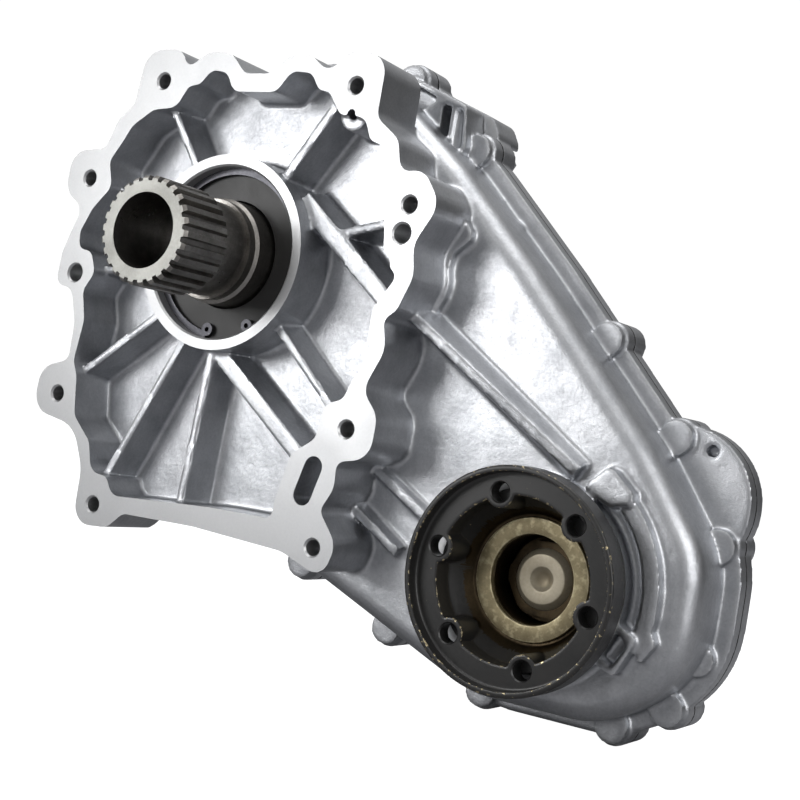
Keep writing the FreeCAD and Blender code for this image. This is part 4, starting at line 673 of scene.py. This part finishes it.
class Finishes:
    """Every material of the part, by a maker's name."""

    def __init__(self) -> None:
        """Build the node groups and the materials."""
        effects = Effects()
        kinds = [
            Metal("die_cast_alloy", (0.55, 0.56, 0.58, 1), (0.24, 0.25, 0.27, 1), (0.86, 0.87, 0.88, 1),
                  rough=(0.30, 0.42), grain=0.00022, film=0.35, wear=(0.10, 0.22, 0.10)),
            Metal("milled_alloy", (0.52, 0.525, 0.53, 1), (0.42, 0.425, 0.435, 1), (0.85, 0.85, 0.85, 1),
                  rough=(0.34, 0.44), grain=0.00001, rings=0.00002, pitch=1800.0, film=0.12, metallic=0.9),
            Metal("shaft_steel", (0.33, 0.315, 0.295, 1), (0.05, 0.045, 0.04, 1), (0.62, 0.60, 0.56, 1),
                  rough=(0.26, 0.42), grain=0.00003, film=0.5, wear=(0.10, 0.15, 0.12)),
            Metal("shaft_end_steel", (0.48, 0.43, 0.33, 1), (0.26, 0.22, 0.15, 1), (0.82, 0.78, 0.68, 1),
                  rough=(0.36, 0.48), rings=0.00003, axis=OUTPUT, film=0.35, metallic=0.6),
            Metal("faced_steel", (0.32, 0.32, 0.30, 1), (0.20, 0.195, 0.18, 1), (0.60, 0.60, 0.58, 1),
                  rough=(0.38, 0.50), rings=0.00001, film=0.25, metallic=0.7),
            Metal("ground_steel", (0.60, 0.60, 0.60, 1), (0.32, 0.31, 0.30, 1), (0.85, 0.85, 0.85, 1),
                  rough=(0.20, 0.32), rings=0.00001, film=0.25),
            Metal("chain_steel", (0.30, 0.28, 0.26, 1), (0.10, 0.09, 0.08, 1), (0.6, 0.58, 0.55, 1),
                  film=0.5),
            Metal("oiled_steel", (0.075, 0.055, 0.032, 1), (0.012, 0.010, 0.008, 1), (0.30, 0.25, 0.16, 1),
                  rough=(0.30, 0.45), rings=0.00002, axis=OUTPUT, film=0.7),
            Metal("blued_steel", (0.10, 0.10, 0.11, 1), (0.03, 0.03, 0.035, 1), (0.35, 0.35, 0.36, 1),
                  film=0.2),
            Metal("zinc_steel", (0.62, 0.63, 0.65, 1), (0.30, 0.30, 0.31, 1), (0.85, 0.85, 0.85, 1),
                  rough=(0.28, 0.42), film=0.3),
            Metal("yellow_zinc", (0.29, 0.245, 0.145, 1), (0.11, 0.085, 0.045, 1), (0.60, 0.53, 0.34, 1),
                  rough=(0.34, 0.50), rings=0.00003, axis=OUTPUT, film=0.55, wear=(0.05, 0.15, 0.45),
                  metallic=0.7),
            Metal("sintered_bronze", (0.50, 0.33, 0.16, 1), (0.25, 0.15, 0.07, 1), (0.7, 0.5, 0.3, 1),
                  film=0.3),
            Metal("soft_alloy", grey(0.70), grey(0.40), grey(0.85), film=0.2),
            Coat("black_coat", grey(0.012), grey(0.022, 0.10), (0.50, 0.42, 0.26, 1), rough=(0.28, 0.42),
                 chips=(0.14, 0.05, 0.60)),
            Coat("seal_rubber", grey(0.018), grey(0.03, 0.05), grey(0.1), rough=(0.38, 0.52)),
            Coat("joint_sealant", grey(0.012), grey(0.02), grey(0.1), rough=(0.45, 0.6)),
            Coat("magnet_black", grey(0.03), grey(0.05), grey(0.1), rough=(0.45, 0.6)),
        ]
        self.by_name = {kind.name: kind.make(effects) for kind in kinds}

    def __getitem__(self, name: str) -> bpy.types.Material:
        """Material of a name."""
        return self.by_name[name]


# ---------------------------------------------------------------- castings


@dataclass
class Casting:
    """A cast or forged piece: its CAD solid with soft edges, and machined faces cut afterwards."""

    node: str
    slot: str = "cast_alloy"
    body: str = CAD_ROOT
    skin: str = "die_cast_alloy"
    tooled: str = "milled_alloy"
    voxel: float = 1.1
    rounds: int = 7
    most_faces: int = 170000
    faces_at: list[tuple[float, tuple[float, float], float]] = field(default_factory=list)
    plugs: list[tuple[tuple[float, float], float, float, float]] = field(default_factory=list)

    STOCK = 3.0

    def raw(self) -> bpy.types.Object:
        """Solid with stock on its machined faces and its bores filled."""
        obj = copy_of(self.node, self.node + "_skin")
        places = coordinates(obj.data)
        for y, axis, reach in self.faces_at:
            radius = np.hypot(places[:, 0] - axis[0] * MM, places[:, 2] - axis[1] * MM)
            on_face = (np.abs(places[:, 1] - y * MM) < 1e-5) & (radius < reach * MM)
            places[on_face, 1] -= self.STOCK * MM
        set_coordinates(obj.data, places)
        fillers = [
            turned("filler", axis, [(0, y0), (radius, y0), (radius, y1), (0, y1)], 64)
            for axis, radius, y0, y1 in self.plugs
        ]
        return join(self.node + "_skin", [obj] + fillers)

    def cutters(self) -> list[bpy.types.Object]:
        """Closed solids that the machine tools take away."""
        return []

    def machined_faces(self, centres: np.ndarray, normals: np.ndarray) -> np.ndarray:
        """Mask of the faces that a tool has cut."""
        return np.zeros(len(centres), dtype=bool)

    def build(self, finishes: Finishes) -> bpy.types.Object:
        """Make the casting and put it in the place of its CAD node."""
        obj = self.raw()
        apply_modifier(obj, "REMESH", mode="VOXEL", voxel_size=self.voxel * MM, adaptivity=0.0)
        relax(obj.data, self.rounds)
        share = self.most_faces / (2.0 * len(obj.data.polygons))
        if share < 1.0:
            apply_modifier(obj, "DECIMATE", decimate_type="COLLAPSE", ratio=share)
        mark_edges(obj.data, 3)
        for cutter in self.cutters():
            cut(obj, cutter)
        self.dress(obj, finishes)
        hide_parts(self.node)
        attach(obj, self.body)
        LOG.info("%s: %d faces", obj.name, len(obj.data.polygons))
        return obj

    def dress(self, obj: bpy.types.Object, finishes: Finishes) -> None:
        """Give cast and machined faces their materials."""
        mesh = obj.data
        mesh.materials.clear()
        mesh.materials.append(finishes[self.skin])
        mesh.materials.append(finishes[self.tooled])
        count = len(mesh.polygons)
        centres = np.empty(count * 3)
        normals = np.empty(count * 3)
        mesh.polygons.foreach_get("center", centres)
        mesh.polygons.foreach_get("normal", normals)
        tooled = self.machined_faces(centres.reshape(-1, 3) / MM, normals.reshape(-1, 3))
        skins = np.where(tooled, Skin.MACHINED.value, Skin.CAST.value)
        mesh.polygons.foreach_set("material_index", skins.astype(np.int32))
        crisp(obj)


BELL_BOLTS = [
    (-57.8, 93.9), (-102.8, 36.4), (-102.7, -90.1), (-63.1, -149.0), (88.7, -147.5), (98.6, -84.9),
    (116.1, 32.0), (73.0, 92.4),
]
BELL_DOWELS = [(-103.2, -19.2), (114.1, 17.2)]
ON_FACE = 0.02  # millimetres within which a face's centre lies on a machined plane


def ring_mask(centres: np.ndarray, axis: tuple[float, float], low: float, high: float) -> np.ndarray:
    """Mask of places whose distance from an axis along Y lies in a range, in millimetres."""
    radius = np.hypot(centres[:, 0] - axis[0], centres[:, 2] - axis[1])
    return (radius > low) & (radius < high)


MAIN_BORE_TOOL = [
    (0, -5), (54, -5), (49.5, -1), (47.5, 1), (47.5, 7), (49.3, 7), (49.3, 9.4), (47.5, 9.4),
    (47.5, 38.6), (42, 38.6), (42, 46), (0, 46),
]
OUTPUT_BORE_TOOL = [
    (0, 27), (48, 27), (47, 28), (45, 30), (45, 59.5), (39.5, 59.5), (39.5, 62.5), (42.5, 62.5),
    (42.5, 83), (0, 83),
]
TAPPING_TOOL = [(0, -4), (6.25, -1), (4.25, 1), (4.25, 24), (0, 26)]
DOWEL_TOOL = [(0, -4), (7, -1), (5, 1), (5, 16), (0, 16)]


@dataclass
class FrontCase(Casting):
    """Front half, with the bell face, the main bore and the output bore machined."""

    node: str = "front_case"
    most_faces: int = 190000
    output_face: float = 29.0
    output_spot: float = 52.6
    tap_fill: tuple[float, float] = (6.0, 27.0)
    dowel_fill: tuple[float, float] = (6.5, 19.0)

    def __post_init__(self) -> None:
        """Set the faces that get stock and the bores that are filled."""
        self.faces_at = [(0.0, MAIN, 400.0), (self.output_face, OUTPUT, self.output_spot - 0.3)]
        self.plugs = [(MAIN, 49.0, -self.STOCK, 36.0), (OUTPUT, 47.5, self.output_face - self.STOCK, 60.0)]
        for places, (radius, depth) in ((BELL_BOLTS, self.tap_fill), (BELL_DOWELS, self.dowel_fill)):
            self.plugs += [(place, radius, -self.STOCK, depth) for place in places]

    def cutters(self) -> list[bpy.types.Object]:
        """Bell face, seats of the seal and bearing, output bore, tapped and dowel holes."""
        spot, face = self.output_spot, self.output_face
        tools = [block("bell_face_tool", (-200, -20, -240), (220, 0, 200))]
        tools.append(turned("output_face_tool", OUTPUT, [(0, 0), (spot, 0), (spot, face), (0, face)], 128))
        tools.append(turned("main_bore_tool", MAIN, MAIN_BORE_TOOL, 160))
        tools.append(turned("output_bore_tool", OUTPUT, OUTPUT_BORE_TOOL, 160))
        tools.extend(turned("tapping_tool", place, TAPPING_TOOL, 40) for place in BELL_BOLTS)
        tools.extend(turned("dowel_tool", place, DOWEL_TOOL, 40) for place in BELL_DOWELS)
        return tools

    def machined_faces(self, centres: np.ndarray, normals: np.ndarray) -> np.ndarray:
        """Bell face, main bore, output face and bore, and the hole walls."""
        y, forward = centres[:, 1], normals[:, 1] < -0.99
        flat = (np.abs(y) < ON_FACE) & forward
        main = ring_mask(centres, MAIN, 41.5, 49.8) & (y > -0.5) & (y < 42)
        face = (np.abs(y - self.output_face) < ON_FACE) & forward
        face &= ring_mask(centres, OUTPUT, 0, self.output_spot + 0.1)
        bore = ring_mask(centres, OUTPUT, 39.0, 47.2) & (y > self.output_face - 1.0) & (y < 82)
        holes = np.zeros(len(centres), dtype=bool)
        for place in BELL_BOLTS + BELL_DOWELS:
            holes |= ring_mask(centres, place, 0, 6.3) & (y < 27)
        return flat | main | face | bore | holes


@dataclass
class RearCase(Casting):
    """Rear half, softened only: its machined faces are on the joint and at the seal."""

    node: str = "rear_case"
    most_faces: int = 150000
    joint: float = 83.4
    seal_face: float = 137.0
    seal_bore: float = 38.0

    def __post_init__(self) -> None:
        """Fill the seal bore so that it can be cut true."""
        self.plugs = [(MAIN, self.seal_bore + 2, 118.0, 139.5)]

    def cutters(self) -> list[bpy.types.Object]:
        """Joint face, seal bore and its mouth."""
        bore, face = self.seal_bore, self.seal_face
        tools = [block("joint_face_tool", (-200, 60, -260), (340, self.joint, 200))]
        tools.append(block("seal_face_tool", (-60, face, -60), (60, 150, 60)))
        tools.append(turned("seal_bore_tool", MAIN, [
            (0, 110), (bore - 1, 110), (bore - 1, 128), (bore, 128), (bore, face - 1), (bore + 2, face + 1),
            (0, face + 1),
        ], 160))
        return tools

    def machined_faces(self, centres: np.ndarray, normals: np.ndarray) -> np.ndarray:
        """Joint face, seal face and seal bore."""
        y = centres[:, 1]
        joint = np.abs(y - self.joint) < ON_FACE
        face = (np.abs(y - self.seal_face) < ON_FACE) & (normals[:, 1] > 0.99)
        bore = ring_mask(centres, MAIN, self.seal_bore - 2, self.seal_bore + 2.2) & (y > 112)
        return joint | face | bore


@dataclass
class FrontFlange(Casting):
    """Front companion flange: forged and coated outside, oily bare steel in its bowl.

    The CAD solid has a plain plate. Here it is built anew with a bowl sunk between the six
    lugs, and its plate is open behind the outer half of each bolt hole.
    """

    node: str = "front_output_flange"
    slot: str = "black_coat"
    body: str = "front_output"
    skin: str = "black_coat"
    tooled: str = "oiled_steel"
    voxel: float = 0.6
    rounds: int = 3
    most_faces: int = 120000
    first_hole: float = 107.0
    pitch_circle: float = 86.0
    holes: int = 6
    hole_radius: float = 5.0
    rim_radius: float = 55.5
    rim_wall: float = 3.0
    front: float = 4.6
    plate: tuple[float, float] = (11.6, 20.6)
    body_radius: float = 44.0
    body_end: float = 26.6
    hub_radius: float = 35.0
    hub: tuple[float, float] = (39.6, 61.5)
    sleeve_radius: float = 22.5
    sleeve_end: float = 79.5
    bowl: float = 41.0
    bowl_foot: float = 32.5
    bowl_depth: tuple[float, float] = (23.6, 36.6)
    lug: float = 7.8
    collar_seat: tuple[float, float] = (31.0, 38.6)
    nut_seat: tuple[float, float] = (22.5, 56.6)
    bore: float = 16.75
    bare_radius: float = 36.0
    bare_span: tuple[float, float] = (30.0, 57.5)

    def places(self) -> list[tuple[float, float]]:
        """Centres of the bolt holes, evenly spaced on the pitch circle."""
        turn = np.radians(self.first_hole + 360.0 / self.holes * np.arange(self.holes))
        radius = self.pitch_circle / 2.0
        across, up = OUTPUT[0] + radius * np.cos(turn), OUTPUT[1] + radius * np.sin(turn)
        return [(float(x), float(z)) for x, z in zip(across, up)]

    def raw(self) -> bpy.types.Object:
        """Turned outline less the recess in the rim, the bowl between the lugs and the bores."""
        rim, (face, back), (step, tail) = self.rim_radius, self.plate, self.hub
        obj = turned(self.node + "_skin", OUTPUT, [
            (0, self.front), (rim - 0.8, self.front), (rim, self.front + 0.8), (rim, back - 2.0),
            (rim - 2.0, back), (self.body_radius, back), (self.body_radius, self.body_end),
            (self.hub_radius + 1.0, step - 1.0),
            (self.hub_radius, step), (self.hub_radius, tail), (self.sleeve_radius, tail),
            (self.sleeve_radius, self.sleeve_end), (0, self.sleeve_end),
        ], 192)
        inside, mouth = rim - self.rim_wall, self.front - 1
        cut(obj, turned("recess_tool", OUTPUT, [(0, mouth), (inside, mouth), (inside, face), (0, face)], 192))
        bowl = turned("bowl_tool", OUTPUT, [
            (0, face - 1), (self.bowl, face - 1), (self.bowl, self.bowl_depth[0]),
            (self.bowl_foot, self.bowl_depth[1]), (0, self.bowl_depth[1]),
        ], 192)
        for place in self.places():
            low, high = face, self.bowl_depth[1] + 2
            lug = [(0, low), (self.lug, low), (self.lug, high), (0, high)]
            cut(bowl, turned("lug_tool", place, lug, 48))
        cut(obj, bowl)
        (collar, shoulder), (nut, floor) = self.collar_seat, self.nut_seat
        start, end = self.bowl_depth[1] - 1, self.sleeve_end + 1
        cut(obj, turned("bore_tool", OUTPUT, [
            (0, start), (collar, start), (collar, shoulder), (nut, shoulder), (nut, floor),
            (self.bore, floor), (self.bore, end), (0, end),
        ], 192))
        return obj

    def cutters(self) -> list[bpy.types.Object]:
        """One drill for each bolt hole, with a countersink."""
        face, back = self.plate
        radius = self.hole_radius
        profile = [
            (0, face - 3), (radius + 2.6, face - 3), (radius + 0.6, face), (radius, face + 0.6),
            (radius, back + 0.5), (0, back + 0.5),
        ]
        return [turned("flange_drill", place, profile, 40) for place in self.places()]

    def machined_faces(self, centres: np.ndarray, normals: np.ndarray) -> np.ndarray:
        """Floor of the bowl around the collar, and the bores behind it."""
        y, (start, end) = centres[:, 1], self.bare_span
        return ring_mask(centres, OUTPUT, 0, self.bare_radius) & (y > start) & (y < end)


@dataclass
class RearFlange(Casting):
    """Rear companion flange, softened only."""

    node: str = "rear_output_flange"
    slot: str = "black_coat"
    body: str = "rear_output"
    skin: str = "black_coat"
    tooled: str = "black_coat"
    voxel: float = 0.6
    rounds: int = 3
    most_faces: int = 90000


# ---------------------------------------------------------------- turned and small pieces


@dataclass
class TurnedPiece:
    """A piece turned on a lathe, in place of its node."""

    node: str
    body: str
    slot: str
    finish: str
    axis: tuple[float, float]
    corners: list[tuple[float, float]]
    ease: float = 0.4
    ring: bool = False
    steps: int = 160

    def build(self, finishes: Finishes) -> bpy.types.Object:
        """Turn the eased profile and dress it."""
        profile = eased(self.corners, self.ease, self.ring)
        obj = turned(self.node + "_turned", self.axis, profile, self.steps, self.ring)
        mark_edges(obj.data, 0)
        obj.data.materials.append(finishes[self.finish])
        crisp(obj, 30.0)
        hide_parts(self.node)
        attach(obj, self.body)
        LOG.info("%s: %d faces", obj.name, len(obj.data.polygons))
        return obj


COLLAR_CORNERS = [(22.5, 34.6), (30.95, 34.6), (30.95, 38.6), (22.5, 38.6)]
FRONT_SHAFT_CORNERS = [
    (0.0, 52.1), (6.3, 46.6), (12.5, 46.6), (15.7, 49.8), (15.7, 57.6), (16.7, 57.6), (16.7, 79.5),
    (24.5, 79.55), (24.5, 101.8), (15.0, 101.8), (15.0, 113.5), (0.0, 113.5),
]


@dataclass
class EasedPiece:
    """A CAD node copied with its sharp edges eased, so that they catch the light.

    Faces that look forwards at the station faced_at get the finish faced, if one is named.
    """

    node: str
    body: str
    slot: str
    finish: str
    ease: float = 0.25
    segments: int = 2
    faced: str = ""
    faced_at: float = 0.0

    def build(self, finishes: Finishes) -> bpy.types.Object:
        """Make the eased copy and put it in the place of its node."""
        obj = copy_of(self.node, self.node + "_eased")
        apply_modifier(obj, "DECIMATE", decimate_type="DISSOLVE", angle_limit=math.radians(0.5))
        apply_modifier(
            obj, "BEVEL", width=self.ease * MM, segments=self.segments, limit_method="ANGLE",
            angle_limit=math.radians(28), harden_normals=False, use_clamp_overlap=True,
        )
        mark_edges(obj.data, 0)
        self.dress(obj, finishes)
        crisp(obj, 30.0)
        apply_modifier(obj, "WEIGHTED_NORMAL", mode="FACE_AREA", weight=50, keep_sharp=True)
        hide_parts(self.node)
        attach(obj, self.body)
        LOG.info("%s: %d faces", obj.name, len(obj.data.polygons))
        return obj

    def dress(self, obj: bpy.types.Object, finishes: Finishes) -> None:
        """Give the piece its finish, and its faced end another one if there is one."""
        mesh = obj.data
        mesh.materials.clear()
        mesh.materials.append(finishes[self.finish])
        if not self.faced:
            return
        mesh.materials.append(finishes[self.faced])
        for polygon in mesh.polygons:
            faced = abs(polygon.center.y / MM - self.faced_at) < 0.02 and polygon.normal.y < -0.99
            polygon.material_index = int(faced)


# ---------------------------------------------------------------- studio


@dataclass
class Studio:
    """Camera at the photograph's place, white floor and soft lights."""

    place: Vector = field(default_factory=lambda: Vector((0.5041, -0.6231, -0.0765)))
    right: Vector = field(default_factory=lambda: Vector((0.8477, 0.5095, 0.1479)))
    down: Vector = field(default_factory=lambda: Vector((0.1195, 0.0884, -0.9889)))
    lens: float = 65.67
    sensor: float = 36.0

    def camera(self) -> None:
        """Place the camera and make it the scene's."""
        data = bpy.data.cameras.new("camera")
        data.lens = self.lens
        data.sensor_width = self.sensor
        data.clip_start = 0.01
        data.clip_end = 20.0
        obj = bpy.data.objects.new("camera", data)
        bpy.context.scene.collection.objects.link(obj)
        right = self.right.normalized()
        up = -self.down
        up = (up - right * up.dot(right)).normalized()
        back = right.cross(up)
        turn = Matrix((right, up, back)).transposed()
        obj.matrix_world = Matrix.Translation(self.place) @ turn.to_4x4()
        bpy.context.scene.camera = obj

    def light(
        self, name: str, place: Sequence[float], aim: Sequence[float], size: tuple[float, float], power: float
    ) -> None:
        """Add one rectangular soft light that points at a place."""
        data = bpy.data.lights.new(name, "AREA")
        data.shape = "RECTANGLE"
        data.size, data.size_y = size
        data.energy = power
        obj = bpy.data.objects.new(name, data)
        obj.location = Vector(place)
        obj.rotation_mode = "QUATERNION"
        obj.rotation_quaternion = (Vector(aim) - Vector(place)).to_track_quat("-Z", "Y")
        bpy.context.scene.collection.objects.link(obj)

    def world(self) -> None:
        """White to the camera; to the surfaces, bright at the upper left and darker to the lower right.

        The level is a ramp of the dot product of the direction and the bright side's direction.
        """
        world = bpy.data.worlds.new("studio_world")
        world.use_nodes = True
        tree = Tree(world.node_tree)
        back = world.node_tree.nodes["Background"]
        toward = tree.add("ShaderNodeVectorMath", operation="DOT_PRODUCT")
        tree.feed(toward.inputs[0], tree.add("ShaderNodeTexCoord").outputs["Generated"])
        toward.inputs[1].default_value = Vector((-0.30, -0.30, 0.90)).normalized()
        level = tree.ramp(toward.outputs["Value"], -0.10, 0.85, 0.10, 0.75)
        path = tree.add("ShaderNodeLightPath")
        tree.feed(back.inputs["Color"], (1, 1, 1, 1))
        strength = tree.math("MAXIMUM", level, tree.math("MULTIPLY", path.outputs["Is Camera Ray"], 1.05))
        tree.feed(back.inputs["Strength"], strength)
        bpy.context.scene.world = world

    def floor(self, height: float) -> None:
        """Plain pale floor under the part: white to the camera, a dim sheet to the surfaces."""
        floor = block("floor", (-3000, -3000, height - 2.0), (3000, 3000, height))
        material = bpy.data.materials.new("floor_white")
        material.use_nodes = True
        tree = Tree(material.node_tree)
        shader = material.node_tree.nodes["Principled BSDF"]
        shader.inputs["Base Color"].default_value = (0.3, 0.3, 0.31, 1)
        shader.inputs["Roughness"].default_value = 0.9
        shader.inputs["Emission Color"].default_value = (1, 1, 1, 1)
        path = tree.add("ShaderNodeLightPath")
        tree.feed(shader.inputs["Emission Strength"], path.outputs["Is Camera Ray"])
        floor.data.materials.append(material)
        floor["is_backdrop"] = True

    def build(self, lowest: float) -> None:
        """Make the whole studio; lowest is the part's lowest height in metres."""
        self.camera()
        self.world()
        self.floor(lowest / MM - 0.5)
        centre = (0.08, 0.05, -0.05)
        self.light("key_left", (-0.45, -0.85, 0.12), (0.05, 0.03, -0.03), (0.45, 0.35), 3.7)
        self.light("top_soft", (0.1, -0.1, 1.3), centre, (1.0, 1.0), 7.5)
        self.light("right_fill", (1.3, -0.5, 0.35), centre, (0.8, 1.0), 7.5)
        bpy.context.scene.view_settings.view_transform = "Standard"


NODE_FINISH = {
    "case_sealant": "joint_sealant", "case_dowels": "ground_steel", "fill_plug": "zinc_steel",
    "drain_plug": "zinc_steel", "plug_washers": "soft_alloy", "breather": "zinc_steel",
    "chip_magnet": "magnet_black", "input_seal": "seal_rubber", "rear_output_seal": "seal_rubber",
    "front_output_seal": "seal_rubber", "drive_chain": "chain_steel", "carrier_bush": "sintered_bronze",
    "thrust_washer": "sintered_bronze", "pilot_bush": "sintered_bronze", "input_core_plug": "zinc_steel",
    "rear_output_shaft": "shaft_end_steel", "rear_flange_nut": "zinc_steel",
    "front_flange_nut": "oiled_steel",
}


def dress_cad_nodes(finishes: Finishes) -> None:
    """Give every CAD node that stays visible its procedural finish."""
    for name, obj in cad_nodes().items():
        obj.data.materials.clear()
        obj.data.materials.append(finishes[NODE_FINISH.get(name, "ground_steel")])


def write_sizes() -> None:
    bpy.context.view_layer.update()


def main() -> None:
    """Build the finishes, the pieces and the studio in order."""
    logging.basicConfig(level=logging.INFO, format="%(name)s %(message)s")
    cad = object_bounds()
    finishes = Finishes()
    dress_cad_nodes(finishes)
    pieces = [
        FrontCase(),
        RearCase(),
        EasedPiece("input_shaft", "input", "shaft_steel", "shaft_steel", faced="faced_steel", faced_at=-63.0),
        FrontFlange(),
        RearFlange(),
        TurnedPiece(
            "front_flange_collar", "front_output", "yellow_zinc", "yellow_zinc", OUTPUT, COLLAR_CORNERS,
            ease=0.9, ring=True,
        ),
        TurnedPiece(
            "front_output_shaft", "front_output", "shaft_steel", "shaft_end_steel", OUTPUT,
            FRONT_SHAFT_CORNERS, ease=0.5,
        ),
        EasedPiece("case_bolts", CAD_ROOT, "plated_steel", "zinc_steel", 0.35),
        EasedPiece("boss_circlip", CAD_ROOT, "spring_steel", "blued_steel", 0.2),
    ]
    for piece in pieces:
        piece.build(finishes)
    Studio().build(cad[0].z)
    write_sizes()


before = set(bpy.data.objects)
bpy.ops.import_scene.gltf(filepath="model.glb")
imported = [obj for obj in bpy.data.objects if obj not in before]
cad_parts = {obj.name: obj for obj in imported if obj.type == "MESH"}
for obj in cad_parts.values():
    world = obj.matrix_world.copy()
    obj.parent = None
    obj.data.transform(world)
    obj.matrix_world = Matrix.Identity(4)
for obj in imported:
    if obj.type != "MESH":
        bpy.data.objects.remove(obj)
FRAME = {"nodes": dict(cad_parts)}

if __name__ == "__main__":
    main()
